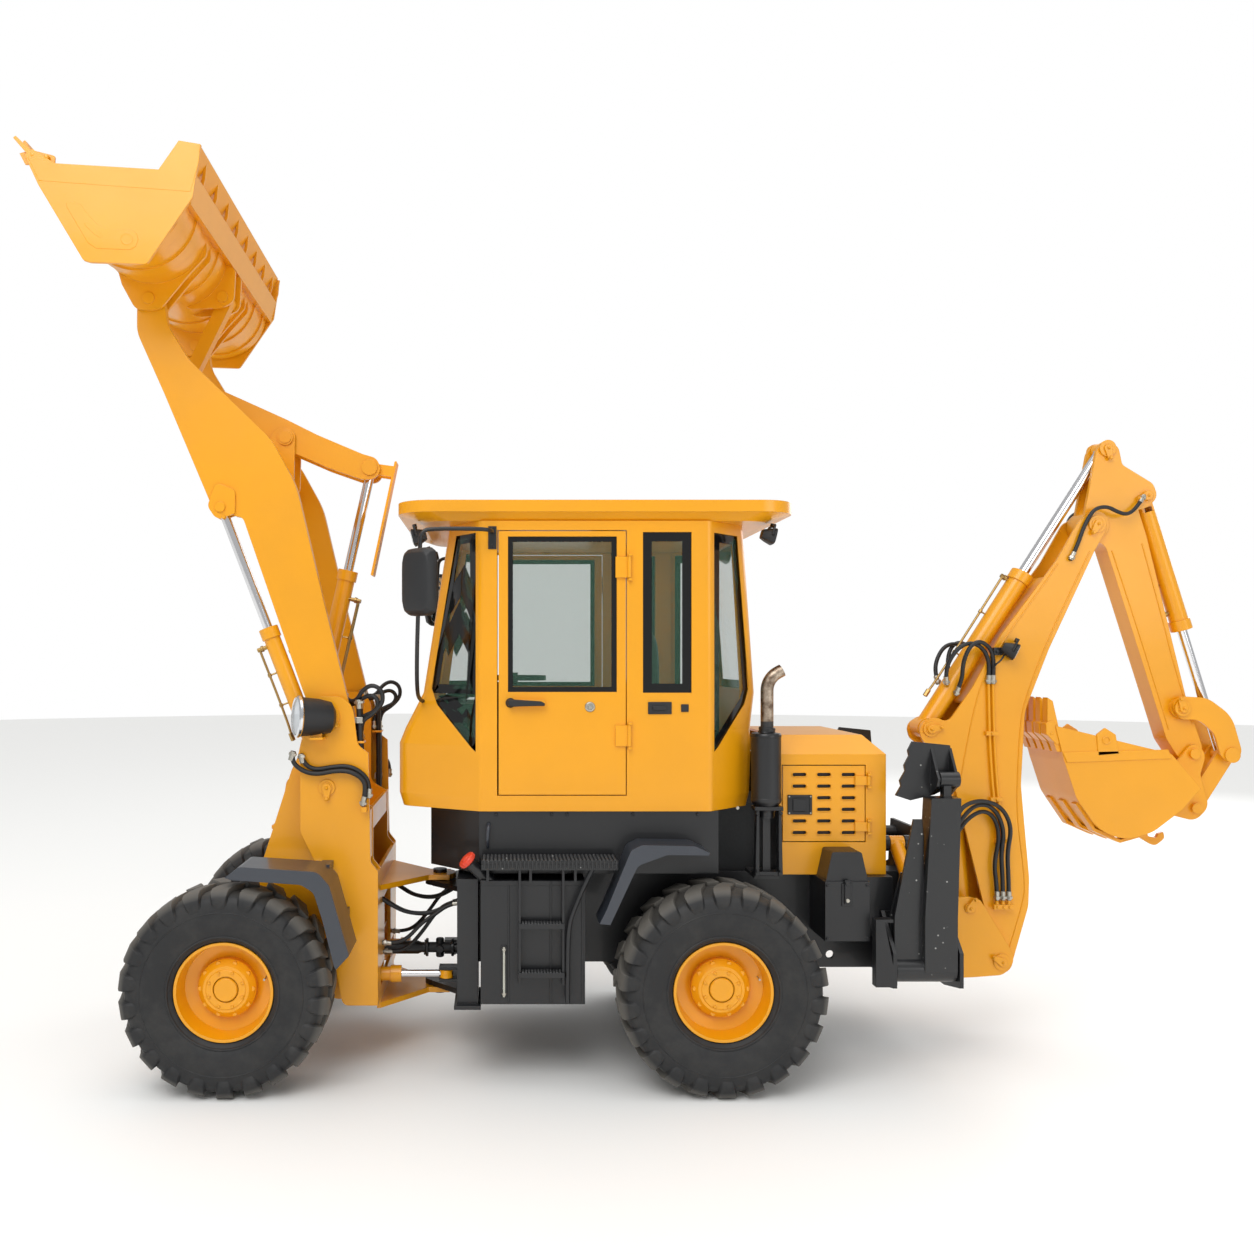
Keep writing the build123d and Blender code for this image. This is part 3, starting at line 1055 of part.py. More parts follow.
def swing_post():
    gap = BOOM_Y + CLEAR
    cheek = [
        (2600, 391), (2744, 398, 60), (2900, 410, 75), (2965, 485, 75), (2940, 560, 60), (2765, 845, 50),
        (2690, 862, 50),
        (2600, 850),
    ]
    post = both(cheek, gap, gap + 20)
    post += block((2580, 2620), (-gap - 20, gap + 20), (SWING_Z[0], SWING_Z[1]))
    post += upright(SWING_X, 0, 78, *SWING_Z) + block((SWING_X, 2600), (-78, 78), SWING_Z)
    post -= upright(SWING_X, 0, SWING_PIN_R + FIT, SWING_Z[0] - 50, SWING_Z[1] + 50)
    post += disc(BOOM_FOOT, HOE_PIN_R, -gap - 34, gap + 34) + discs(BOOM_FOOT, 48, gap + 20, gap + 30)
    post += disc(BOOM_CYL_BASE, CYLINDERS["boom"]["pin"], -gap - 34, gap + 34)
    room = CYLINDERS["boom"]["base_eye"] + EYE_GAP
    post += discs(BOOM_CYL_BASE, 48, room, gap)
    return post


def boom():
    edge = [
        (2800, 800, 60), (2815, 480, 75), (2890, 400, 75), (2965, 485, 75), (3055, 800, 200), (3060, 960, 300),
        (3012, 1500, 300), (3035, 1930, 300), (3175, 2290, 400), (3440, 2860, 150), (3525, 3010, 85),
        (3450, 3095, 85),
        (3350, 3030, 85), (3220, 2800, 200), (2900, 2370, 300), (2730, 2060, 300), (2590, 1860, 60),
        (2510, 1900, 70),
        (2420, 1840, 60), (2440, 1760, 60), (2590, 1640, 100), (2640, 1450, 300),
    ]
    face = outline(edge)
    plates = between(face, BOOM_Y - BOOM_PLATE, BOOM_Y) + between(face, -BOOM_Y, -BOOM_Y + BOOM_PLATE)
    rim_face = offset(face, -22, kind=Kind.INTERSECTION)
    inner = offset(face, -36, kind=Kind.INTERSECTION)
    webs = between(rim_face, -BOOM_Y + BOOM_PLATE, BOOM_Y - BOOM_PLATE) - between(inner, -BOOM_Y, BOOM_Y)
    # the channel is open towards the machine for the boom cylinder, and at the top for the dipper
    webs -= plate([(2300, 700), (2780, 350), (2880, 380), (2830, 900), (2760, 1560), (2760, 1750), (2700, 2010),
                   (2300, 2100)],
                  -BOOM_Y, BOOM_Y)
    webs -= plate([(3180, 2700), (3560, 2700), (3700, 3200), (3200, 3200)], -BOOM_Y, BOOM_Y)
    arm = plates + webs
    arm += discs(BOOM_FOOT, 75, BOOM_Y - 30, BOOM_Y)
    room = BOOM_Y - BOOM_PLATE
    eye = CYLINDERS["boom"]["rod_eye"] + EYE_GAP
    arm += discs(BOOM_CYL_EYE, 42, eye, room + 2)
    eye = CYLINDERS["dipper"]["base_eye"] + EYE_GAP
    arm += discs(DIPPER_CYL_BASE, 55, eye, room + 2)
    arm += disc(DIPPER_CYL_BASE, CYLINDERS["dipper"]["pin"], -BOOM_Y - 14, BOOM_Y + 14)
    arm += discs(DIPPER_CYL_BASE, 44, BOOM_Y, BOOM_Y + 10)
    arm += disc(BOOM_TIP, 34, -BOOM_Y - 14, BOOM_Y + 14) + discs(BOOM_TIP, 50, BOOM_Y, BOOM_Y + 10)
    return arm - disc(BOOM_FOOT, HOE_PIN_R + FIT, -300, 300)


def dipper():
    edge = [
        (3440, 2920, 80), (3350, 3010, 90), (3445, 3120, 90), (3560, 3240, 100), (3700, 3140, 60),
        (3760, 2950, 300),
        (3990, 2010, 100), (4092, 1700, 70), (4030, 1612, 68), (3945, 1660, 70), (3880, 1760, 100),
        (3520, 2900, 150),
    ]
    body = plate(edge, -DIPPER_Y, DIPPER_Y)
    cheek_in = CYLINDERS["dipper"]["rod_eye"] + CLEAR
    top = [
        (3400, 3060), (3470, 3440, 62), (3520, 3520, 62), (3600, 3460, 62), (3620, 3360, 40), (3800, 3250, 62),
        (3830, 3170, 62),
        (3760, 3110, 62), (3690, 3090),
    ]
    body += both(top, cheek_in, DIPPER_Y)
    body += discs(DIPPER_TOP, 48, DIPPER_Y, DIPPER_Y + 12)
    body += disc(BUCKET_CYL_BASE, CYLINDERS["bucket"]["pin"], -DIPPER_Y - 14, DIPPER_Y + 14)
    reach = BOOM_Y - BOOM_PLATE - CLEAR
    body += disc(BOOM_TIP, 82, -reach, reach)
    body -= disc(BOOM_TIP, 34 + FIT, -200, 200)
    body += disc(TIP_LINK_PIN, HOE_PIN_R, -TIP_Y - 34, TIP_Y + 34)
    body += discs(TIP_LINK_PIN, 52, DIPPER_Y, TIP_Y - EYE_GAP)
    body += discs(TIP_LINK_PIN, 46, TIP_Y + TIP_T + 4, TIP_Y + TIP_T + 14)
    body -= disc(HOE_PIN, HOE_PIN_R + FIT, -200, 200)
    return body


def tipping_links():
    """Pair of curved plates from the dipper to the bucket cylinder's rod."""
    edge = [
        (3880, 1960, 55), (3930, 2015, 60), (4090, 2005, 150), (4230, 1900, 200), (4290, 1690, 62),
        (4235, 1612, 60),
        (4165, 1670, 60), (4130, 1800, 120), (4040, 1880, 120), (3930, 1880, 55),
    ]
    pair = both(edge, TIP_Y, TIP_Y + TIP_T)
    pair += discs(LINK_JOINT, 44, TIP_Y + TIP_T, TIP_Y + TIP_T + 10)
    return pair - disc(TIP_LINK_PIN, HOE_PIN_R + FIT, -300, 300)


def hoe_bucket_link():
    pair = between(capsule(LINK_JOINT, HOE_LINK_PIN, 50, 52), *HOE_LINK_Y)
    pair += between(capsule(LINK_JOINT, HOE_LINK_PIN, 50, 52), -HOE_LINK_Y[1], -HOE_LINK_Y[0])
    pair += between(capsule((4110, 1488), (4140, 1535), 18, 18), -HOE_LINK_Y[0], HOE_LINK_Y[0])
    return pair - disc(HOE_LINK_PIN, HOE_PIN_R + FIT, -300, 300)


def hoe_bucket():
    w = HOE_BUCKET_Y
    t = 14.0
    curve = [
        (3160, 1850), (3210, 1650, 100), (3280, 1435, 200), (3400, 1262, 250), (3550, 1195, 250),
        (3715, 1245, 200),
        (3885, 1375, 60), (3975, 1480, 20), (3990, 1490, 10), (3820, 1690, 30),
    ]
    outer = outline(curve)
    sides = between(outer, w - t, w) + between(outer, -w, -w + t)
    ring = between(outer, -w + t, w - t) - between(offset(outer, -12, kind=Kind.INTERSECTION), -w, w)
    ring -= plate([(3176, 1950), (3176, 1836), (3230, 1720), (3770, 1600), (3806, 1684), (3850, 1950)], -w, w)
    bucket = sides + ring
    ear = [
        (3930, 1640, 60), (4022, 1755, 75), (4095, 1680, 70), (4060, 1560, 60), (4110, 1370, 75),
        (4030, 1290, 75), (3870, 1330, 60),
        (3760, 1290), (3800, 1420),
    ]
    scoop = between(offset(outer, -12, kind=Kind.INTERSECTION), -w, w)
    bucket += both(ear, *EAR_Y) - scoop
    bucket += disc(HOE_PIN, HOE_PIN_R, -EAR_Y[1] - 20, EAR_Y[1] + 20)
    bucket += disc(HOE_LINK_PIN, HOE_PIN_R, -EAR_Y[1] - 20, EAR_Y[1] + 20)
    for y in (-170, -85, 0, 85, 170):
        bucket += plate([(3120, 2010), (3150, 1990), (3215, 1700), (3175, 1700), (3120, 1850)], y - 28, y + 28)
    # lifting hook under the heel
    hook = [(3700, 1250), (3740, 1190, 30), (3840, 1130, 40), (3900, 1180, 30), (3890, 1215), (3862, 1205),
            (3850, 1180, 15), (3800, 1190, 15), (3790, 1290)]
    bucket += plate(hook, -12, 12) - scoop
    return bucket


def hoe_cylinders():
    return {
        "boom": cylinder_parts("boom", at(BOOM_CYL_BASE), at(BOOM_CYL_EYE), rod_inside=570),
        "dipper": cylinder_parts("dipper", at(DIPPER_CYL_BASE), at(DIPPER_TOP), rod_inside=120),
        "bucket": cylinder_parts("bucket", at(BUCKET_CYL_BASE), at(LINK_JOINT), rod_inside=90),
    }


# ---------------------------------------------------------------- build
def build():
    """Every node of the machine by name."""
    nodes = {
        "rear_frame": rear_frame(),
        "side_boxes": side_boxes(),
        "drive_train": drive_train(),
        "engine_hood": hood(),
        "cab_shell": cab_shell(),
        "cab_roof": roof(),
        "cab_glass": cab_glass(),
        "operator_seat": seat(),
        "control_consoles": consoles(),
        "exhaust_stack": exhaust(),
        "rear_fenders": rear_fenders(),
        "stabilizer_frame": stabilizer_frame(),
        "front_frame": front_frame(),
        "loader_towers": loader_towers(),
        "front_axle": axle(FRONT_AXLE_X),
        "front_fenders": front_fenders(),
        "loader_arm": loader_arm(),
        "loader_bucket": loader_bucket(),
        "rocker": rocker(),
        "bucket_link": bucket_link(),
        "swing_post": swing_post(),
        "boom": boom(),
        "dipper": dipper(),
        "tipping_links": tipping_links(),
        "hoe_bucket_link": hoe_bucket_link(),
        "hoe_bucket": hoe_bucket(),
    }
    for name, sign in (("left", -1), ("right", 1)):
        nodes[f"{name}_door"] = door(sign)
        nodes[f"{name}_door_glass"] = door_glass(sign)
        nodes[f"{name}_hood_door"] = hood_door(sign)
        nodes[f"{name}_outrigger"] = outrigger(sign)
        barrel, rod = outrigger_cylinder(sign)
        nodes[f"{name}_outrigger_barrel"] = barrel
        nodes[f"{name}_outrigger_rod"] = rod
        barrel, rod = steering_cylinder(sign)
        nodes[f"{name}_steering_barrel"] = barrel
        nodes[f"{name}_steering_rod"] = rod
        for end, x in (("front", FRONT_AXLE_X), ("rear", REAR_AXLE_X)):
            nodes[f"{end}_{name}_tyre"] = tyre(x, sign)
            nodes[f"{end}_{name}_rim"] = rim(x, sign)
    nodes["lift_barrels"], nodes["lift_rods"] = lift_cylinders()
    nodes["tilt_barrel"], nodes["tilt_rod"] = tilt_cylinder()
    for name, (barrel, rod) in hoe_cylinders().items():
        nodes[f"{name}_barrel"] = barrel
        nodes[f"{name}_rod"] = rod
    return nodes


def main():
    os.makedirs("parts", exist_ok=True)
    for name, shape in build().items():
        export_step(Pos(-MIDDLE_X, 0, TYRE_R - AXLE_Z) * shape, f"parts/{name}.step")
        print(name)


if __name__ == "__main__":
    main()
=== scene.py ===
# %% [markdown]
# # An articulated backhoe loader, finished for a studio picture
# The machine comes in as a imported CAD model: frames, loader, cab, engine hood, outriggers and backhoe,
# each a rigid piece that rides on a named body. Here each of those pieces gets a real finish, and the
# things that a workshop adds last are built: tyres with their tread, hoses, lamps, mirror, bolts.
# Everything is in metres in the CAD's own frame: +X to the rear, +Y to the machine's right, +Z up.

# %% Load the frame
import json
from math import cos, pi, radians, sin

import bmesh
import bpy
from mathutils import Matrix, Vector


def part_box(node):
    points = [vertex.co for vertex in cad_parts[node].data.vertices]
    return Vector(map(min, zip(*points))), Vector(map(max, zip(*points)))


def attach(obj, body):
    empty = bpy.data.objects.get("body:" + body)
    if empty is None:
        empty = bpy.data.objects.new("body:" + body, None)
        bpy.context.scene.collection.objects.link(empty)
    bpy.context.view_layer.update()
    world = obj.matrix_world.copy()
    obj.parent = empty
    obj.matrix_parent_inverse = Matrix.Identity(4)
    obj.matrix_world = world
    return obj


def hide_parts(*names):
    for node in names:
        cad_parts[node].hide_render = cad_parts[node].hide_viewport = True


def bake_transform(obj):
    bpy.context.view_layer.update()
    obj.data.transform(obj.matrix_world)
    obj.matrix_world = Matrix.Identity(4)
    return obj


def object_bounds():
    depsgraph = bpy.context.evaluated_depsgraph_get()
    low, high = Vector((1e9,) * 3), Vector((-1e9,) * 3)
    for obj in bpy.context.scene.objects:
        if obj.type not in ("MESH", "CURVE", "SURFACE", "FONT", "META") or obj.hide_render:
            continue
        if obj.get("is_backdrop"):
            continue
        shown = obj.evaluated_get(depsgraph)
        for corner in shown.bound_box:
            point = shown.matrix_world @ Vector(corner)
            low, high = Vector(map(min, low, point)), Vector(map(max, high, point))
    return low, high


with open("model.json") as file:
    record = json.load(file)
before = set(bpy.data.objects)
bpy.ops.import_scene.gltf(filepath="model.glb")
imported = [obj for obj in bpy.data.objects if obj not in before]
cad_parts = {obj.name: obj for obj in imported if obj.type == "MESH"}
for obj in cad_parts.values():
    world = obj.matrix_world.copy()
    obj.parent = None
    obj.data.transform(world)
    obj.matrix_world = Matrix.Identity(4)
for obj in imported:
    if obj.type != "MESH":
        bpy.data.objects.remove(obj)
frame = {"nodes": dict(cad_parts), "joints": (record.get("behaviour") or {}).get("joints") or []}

cad_low, cad_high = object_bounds()
print("CAD box", [round(v, 3) for v in cad_low], [round(v, 3) for v in cad_high])

# %% [markdown]
# ## Where things are
# A joint's position is the best landmark on a machine. The centre hinge is the one that every size
# below goes back to. What stands on both sides is built in one loop, and a sign tells left from right.

# %% Landmarks
MM = 0.001
SIDES = (("left", -1), ("right", 1))
WHEELS = ("front_left", "front_right", "rear_left", "rear_right")
joint_at = {j["name"]: Vector(j["pos_m"]) for j in frame["joints"] if "pos_m" in j}
print(len(joint_at), "joint positions")

# %% [markdown]
# ## Small tools
# A node material is a graph. One function adds any node with its settings and its links, so that each
# material below reads as a list of what it is made of. Colours are given as the sRGB hex values that a
# paint card would show, and are turned to the linear values that a shader wants.

# %% Colour and node tools
def linear(code):
    """An sRGB hex value such as '#F2A01E' as linear RGBA."""
    values = [int(code[i:i + 2], 16) / 255 for i in (1, 3, 5)]
    return tuple(v / 12.92 if v <= 0.04045 else ((v + 0.055) / 1.055) ** 2.4 for v in values) + (1.0,)


def add(tree, kind, links=(), **settings):
    """Adds a node. Settings are its properties or inputs; links are (input name or number, socket)."""
    node = tree.nodes.new("ShaderNode" + kind)
    for name, value in settings.items():
        if hasattr(node, name) and name not in node.inputs:
            setattr(node, name, value)
        else:
            node.inputs[name.replace("_", " ")].default_value = value
    for name, socket in links:
        tree.links.new(socket, node.inputs[name])
    return node


def new_material(name):
    """An empty material, its tree, and the place on the object, by which patterns are drawn."""
    material = bpy.data.materials.new(name)
    material.use_nodes = True
    tree = material.node_tree
    tree.nodes.clear()
    return material, tree, add(tree, "TexCoord").outputs["Object"]


def finish_material(material, links=(), **shader):
    """Ends a material's graph with the shader, its links and its constants."""
    bsdf = add(material.node_tree, "BsdfPrincipled", links, **shader)
    add(material.node_tree, "OutputMaterial", [("Surface", bsdf.outputs["BSDF"])])
    return material


def new_object(name, data):
    """An object in the scene."""
    obj = bpy.data.objects.new(name, data)
    bpy.context.scene.collection.objects.link(obj)
    return obj


print("tools ready")

# %% [markdown]
# ## Enamel over sheet steel
# Construction machines are sprayed with a thick alkyd or polyurethane enamel. It is glossy but not mirror
# flat: the film has a slight orange peel, and large plates are never quite true, so reflections wander.

# %% Enamel
def enamel(name, code, roughness=0.3, wander=0.6, fade=0.06, coat=0.15):
    """Sprayed enamel: a colour that drifts a little, a wandering reflection and a thin clear gloss."""
    material, tree, place = new_material(name)
    patches = add(tree, "TexNoise", [("Vector", place)], Scale=2.5, Detail=3.0)
    plates = add(tree, "TexNoise", [("Vector", place)], Scale=7.0, Detail=1.0)
    deep = tuple(c * (1 - fade * 2.5) for c in linear(code)[:3]) + (1.0,)
    mix = add(tree, "Mix", [("Factor", patches.outputs["Fac"])], data_type="RGBA", A=linear(code), B=deep)
    gloss = add(tree, "MapRange", [("Value", patches.outputs["Fac"])], To_Min=roughness * 0.8,
        To_Max=roughness * 1.3)
    bump = add(tree, "Bump", [("Height", plates.outputs["Fac"])], Strength=wander, Distance=0.002)
    soft = add(tree, "Bevel", [("Normal", bump.outputs["Normal"])], samples=4, Radius=0.004)
    links = [("Base Color", mix.outputs["Result"]), ("Roughness", gloss.outputs["Result"]),
        ("Normal", soft.outputs["Normal"])]
    return finish_material(material, links, Coat_Weight=coat, Coat_Roughness=0.08, IOR=1.5)


YELLOW = "#EFA30C"
yellow_enamel = enamel("yellow_enamel", YELLOW)
black_enamel = enamel("black_enamel", "#141518", roughness=0.38)
print("enamels", yellow_enamel.name, black_enamel.name)

# %% [markdown]
# ## Tyre rubber
# Carbon black makes tyre rubber nearly black, and the mould leaves it matt with a faint grain. New tyres
# pick up a little pale dust, which lies on the rubber in soft patches. The lug tops are painted pale as a
# highlight.

# %% Rubber
PAINTED_SHEEN_MM = 42  # how far below the lug tops the tread is painted pale, as a painted highlight


def rubber(name, code, dust_and_sheen_code, dust=0.25, roughness=0.7, grain_mm=6.0, tread_mm=None):
    """Moulded rubber with patches of dust, and the tread painted pale towards the lug tops as a painted
    highlight. The grain is drawn coarser than the real 0.5 mm so that it shows."""
    material, tree, place = new_material(name)
    patches = add(tree, "TexNoise", [("Vector", place)], Scale=9.0, Detail=5.0, Roughness=0.6)
    grain = add(tree, "TexNoise", [("Vector", place)], Scale=1000 / grain_mm, Detail=2.0)
    amount = add(tree, "MapRange", [("Value", patches.outputs["Fac"])], From_Min=0.42, From_Max=0.75,
        To_Max=dust)
    dust_and_sheen = amount.outputs["Result"]
    if tread_mm:
        # painted highlight: the rubber turns pale from a little below the lug tops outwards
        wheel = add(tree, "VectorMath", [("Vector", place)], operation="MULTIPLY")
        wheel.inputs[1].default_value = (1, 0, 1)
        radius = add(tree, "VectorMath", [("Vector", wheel.outputs["Vector"])], operation="LENGTH")
        painted_sheen = add(tree, "MapRange", [("Value", radius.outputs["Value"])], From_Min=(tread_mm - PAINTED_SHEEN_MM) * MM,
            From_Max=tread_mm * MM, To_Max=0.8)
        both = add(tree, "Math", [(0, dust_and_sheen), (1, painted_sheen.outputs["Result"])], operation="MAXIMUM")
        dust_and_sheen = both.outputs["Value"]
    mix = add(tree, "Mix", [("Factor", dust_and_sheen)], data_type="RGBA", A=linear(code), B=linear(dust_and_sheen_code))
    bump = add(tree, "Bump", [("Height", grain.outputs["Fac"])], Strength=0.35, Distance=0.001)
    links = [("Base Color", mix.outputs["Result"]), ("Normal", bump.outputs["Normal"])]
    return finish_material(material, links, Roughness=roughness, IOR=1.52)


tyre_rubber = rubber("tyre_rubber", "#161719", "#6B6760", dust=0.12, roughness=0.62, tread_mm=532)
hose_rubber = rubber("hose_rubber", "#17181A", "#3A3A3A", dust=0.1, roughness=0.5, grain_mm=9.0)
# near-black rubber used behind the louvre slots as painted shade inside the hood
shade_backing_rubber = rubber("shade_backing_rubber", "#111214", "#26272A", dust=0.1, roughness=0.6)

# %% [markdown]
# ## Metals, glass and plastics
# Bolts and clips are zinc plated, castings are bare and grey. The panes are green-tinted toughened glass:
# thin, so a see-through surface with a clear gloss stands for them best.

# %% Metals
def metal(name, code, roughness, vary=0.15):
    """Bare or plated metal with a slightly uneven polish."""
    material, tree, place = new_material(name)
    smear = add(tree, "TexNoise", [("Vector", place)], Scale=60.0, Detail=3.0)
    gloss = add(tree, "MapRange", [("Value", smear.outputs["Fac"])], To_Min=roughness * (1 - vary),
        To_Max=roughness * (1 + vary))
    return finish_material(material, [("Roughness", gloss.outputs["Result"])], Base_Color=linear(code),
        Metallic=1.0)


zinc_plate = metal("zinc_plate", "#B9B6AC", 0.38)
cast_iron = metal("cast_iron", "#4A4B4C", 0.6)


# %% Glass and plastic
def sheet_glass(name, code, alpha):
    """A thin pane: see-through by alpha, with a clear gloss."""
    return finish_material(new_material(name)[0], Base_Color=linear(code), Roughness=0.03, IOR=1.5,
        Alpha=alpha, Coat_Weight=0.3)


def plastic(name, code, roughness=0.5, grain_mm=4.0, strength=0.25):
    """Injection-moulded plastic with a fine leather-like grain, drawn coarse enough to show."""
    material, tree, place = new_material(name)
    grain = add(tree, "TexNoise", [("Vector", place)], Scale=1000 / grain_mm, Detail=2.0)
    bump = add(tree, "Bump", [("Height", grain.outputs["Fac"])], Strength=strength, Distance=0.0006)
    return finish_material(material, [("Normal", bump.outputs["Normal"])], Base_Color=linear(code),
        Roughness=roughness, IOR=1.5)


tinted_glass = sheet_glass("tinted_glass", "#4A7461", 0.2)
abs_plastic = plastic("abs_plastic", "#1D1E20")
print("materials", len(bpy.data.materials))

# %% [markdown]
# ## Mesh tools
# Nearly everything on a machine like this is bent plate, turned bar or hose. Small builders cover that:
# a prism cut from an outline, a box, a profile turned round an axis, a straight bar and a moulding. Each
# adds to a bmesh, so that one object can hold a whole row of bolts. Sizes are millimetres in the
# machine's own drawing, whose zero lies on the ground 352 mm behind the centre hinge.

# %% Builders
HINGE_X, HINGE_Z = -352, 640
zero = joint_at["articulation"] - Vector((HINGE_X, 0, HINGE_Z)) * MM


def at(x, y, z):
    """A point of the drawing, in the frame's metres."""
    return zero + Vector((x, y, z)) * MM


def span(sign, near, far):
    """The Y range between two distances from the middle plane, on one side, low end first."""
    return sorted((sign * near, sign * far))


def skin(mesh, rings):
    """Faces between neighbouring rings. A ring may be a single point."""
    for low, high in zip(rings, rings[1:]):
        steps = max(len(low), len(high))
        for i in range(steps):
            j = (i + 1) % steps
            corners = [low[i % len(low)], low[j % len(low)], high[j % len(high)], high[i % len(high)]]
            corners = list(dict.fromkeys(corners))
            if len(corners) > 2:
                mesh.faces.new(corners)


def angles(count, first=0.0):
    """Equal steps round a circle, from a share of one step on."""
    return [2 * pi * (i + first) / count for i in range(count)]


def prism(mesh, corners, y0, y1):
    """A plate with an (x, z) outline, from y0 to y1."""
    rings = [[mesh.verts.new(at(x, y, z)) for x, z in corners] for y in (y0, y1)]
    mesh.faces.new(rings[0])
    mesh.faces.new(reversed(rings[1]))
    for i in range(len(corners)):
        j = (i + 1) % len(corners)
        mesh.faces.new((rings[0][j], rings[0][i], rings[1][i], rings[1][j]))


def mirrored_prisms(mesh, corners, near, far):
    for sign in (1, -1):
        prism(mesh, corners, *span(sign, near, far))


def box(mesh, x, y, z):
    """A block between two values of x, of y and of z."""
    prism(mesh, [(x[0], z[0]), (x[1], z[0]), (x[1], z[1]), (x[0], z[1])], y[0], y[1])


def turned(mesh, centre, axis, profile, steps=32):
    """Turns (radius, height) points in millimetres round an axis through centre."""
    spin = Vector(axis).to_track_quat("Z", "Y").to_matrix()
    rings = []
    for radius, height in profile:
        if radius < 0.01:
            rings.append([mesh.verts.new(centre + spin @ Vector((0, 0, height)) * MM)])
            continue
        points = (Vector((radius * cos(a), radius * sin(a), height)) for a in angles(steps))
        rings.append([mesh.verts.new(centre + spin @ point * MM) for point in points])
    skin(mesh, rings)


def bar(mesh, start, end, radius, sides=16):
    """A round or many-sided bar between two points; radius in millimetres."""
    length = (end - start).length / MM
    turned(mesh, start, end - start, [(0, 0), (radius, 0), (radius, length), (0, length)], sides)


def moulding(mesh, place, width, height, sections, power, steps):
    """A closed form with rounded corners along place's X axis. Sections are (x, share of full size), and
    a higher power makes squarer corners."""
    rings = []
    for x, share in sections:
        ring = []
        for c, s in ((cos(a), sin(a)) for a in angles(steps)):
            k = (abs(c) ** power + abs(s) ** power) ** (-1 / power)
            corner = Vector((x, c * k * width / 2 * share, s * k * height / 2 * share)) * MM
            ring.append(mesh.verts.new(place @ corner))
        rings.append(ring)
    mesh.faces.new(rings[0])
    mesh.faces.new(reversed(rings[-1]))
    skin(mesh, rings)


def piece(name, body, mesh, material, bevel=0.0, sharp=32):
    """Turns a bmesh into a named object with shaded edges that rides on a body."""
    bmesh.ops.recalc_face_normals(mesh, faces=mesh.faces)
    data = bpy.data.meshes.new(name)
    mesh.to_mesh(data)
    mesh.free()
    data.materials.append(material)
    data.polygons.foreach_set("use_smooth", [True] * len(data.polygons))
    data.set_sharp_from_angle(angle=radians(sharp))
    obj = new_object(name, data)
    if bevel:
        edges = obj.modifiers.new("edges", "BEVEL")
        edges.width, edges.segments, edges.limit_method = bevel * MM, 2, "ANGLE"
    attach(obj, body)
    return obj


def bolt(mesh, centre, axis, across=24.0, height=12.0, washer=1.35):
    """A hexagon head on its washer."""
    axis = Vector(axis).normalized()
    turned(mesh, centre, axis, [(0, 0), (across / 2 * washer, 0), (across / 2 * washer, 3), (0, 3)], 20)
    bar(mesh, centre + axis * 3 * MM, centre + axis * (height + 3) * MM, across / 2 * 1.12, 6)


print("builders ready; zero is", tuple(round(v, 3) for v in zero))

# %% [markdown]
# ## Hoses
# A hydraulic hose is a smooth curve because its steel braid resists a kink. A NURBS curve through a few
# control points gives that for little work. Each end is swaged into a plated ferrule with a hexagon nut.
# The curve is turned into a mesh; a hose over a joint stays fixed in the scene, with a ferrule on each body.

# %% Hose builder
def tubes(name, routes, radius, material, round_steps=4):
    """One object with a smooth round tube along each route of drawing points."""
    curve = bpy.data.curves.new("route", "CURVE")
    curve.dimensions, curve.bevel_depth, curve.bevel_resolution = "3D", radius * MM, round_steps
    curve.use_fill_caps = True
    for route in routes:
        spline = curve.splines.new("NURBS")
        spline.points.add(len(route) - 1)
        for point, place in zip(spline.points, route):
            point.co = (*at(*place), 1)
        spline.order_u, spline.use_endpoint_u, spline.resolution_u = 3, True, 8
    holder = new_object("route", curve)
    data = bpy.data.meshes.new_from_object(holder.evaluated_get(bpy.context.evaluated_depsgraph_get()))
    bpy.data.objects.remove(holder)
    data.materials.clear()
    data.materials.append(material)
    data.polygons.foreach_set("use_smooth", [True] * len(data.polygons))
    return new_object(name, data)


def run_length(data, radius):
    """Length of tube in a mesh, in metres: the area of its skin over its girth."""
    sides = max(len(face.vertices) for face in data.polygons)
    area = sum(face.area for face in data.polygons if len(face.vertices) == 4)
    return area / (2 * sides * radius * MM * sin(pi / sides))


def flip(sign, routes):
    """Routes drawn for the right side, as they run on the side that a sign tells."""
    return [[(x, sign * y, z) for x, y, z in route] for route in routes]


def hoses(name, body, routes, radius=11.0, fitting=True, other=None):
    """Hoses along routes of drawing points. With another body, they stay fixed in the scene and their far
    ferrules ride on that body.
    """
    obj = tubes(name, routes, radius, hose_rubber)
    routes = [[at(*p) for p in route] for route in routes]
    print(f"{name}: {len(routes)} of about {run_length(obj.data, radius) / len(routes):.2f} m")
    if other:
        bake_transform(obj)
    else:
        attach(obj, body)
    if not fitting:
        return
    for end, side, holder in ((0, 1, body), (-1, -2, other or body)):
        mesh = bmesh.new()
        for route in routes:
            along = (route[side] - route[end]).normalized() * MM
            bar(mesh, route[end] + along * 2, route[end] + along * 52, radius * 1.22, 16)
            bar(mesh, route[end] + along * 10, route[end] + along * 24, radius * 1.75, 6)
        piece(f"{name}_ferrules{end % 3}", holder, mesh, zinc_plate, bevel=1.2)


def tube_run(name, body, routes, radius, material, round_steps=4):
    """Steel tubes bent along routes of drawing points, fixed to one body."""
    obj = tubes(name, routes, radius, material, round_steps)
    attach(obj, body)


print("hose builder ready")

# %% [markdown]
# ## Finishes with a history
# Some coats on a machine aren't even. An outrigger leg is dragged over gravel, so its black enamel is
# chipped in pale specks along the edges. An exhaust stack is bare mild steel above the muffler, browned by
# heat. The mudguards are enamelled in a blue-grey. The ceramic band round a pane is black glass.

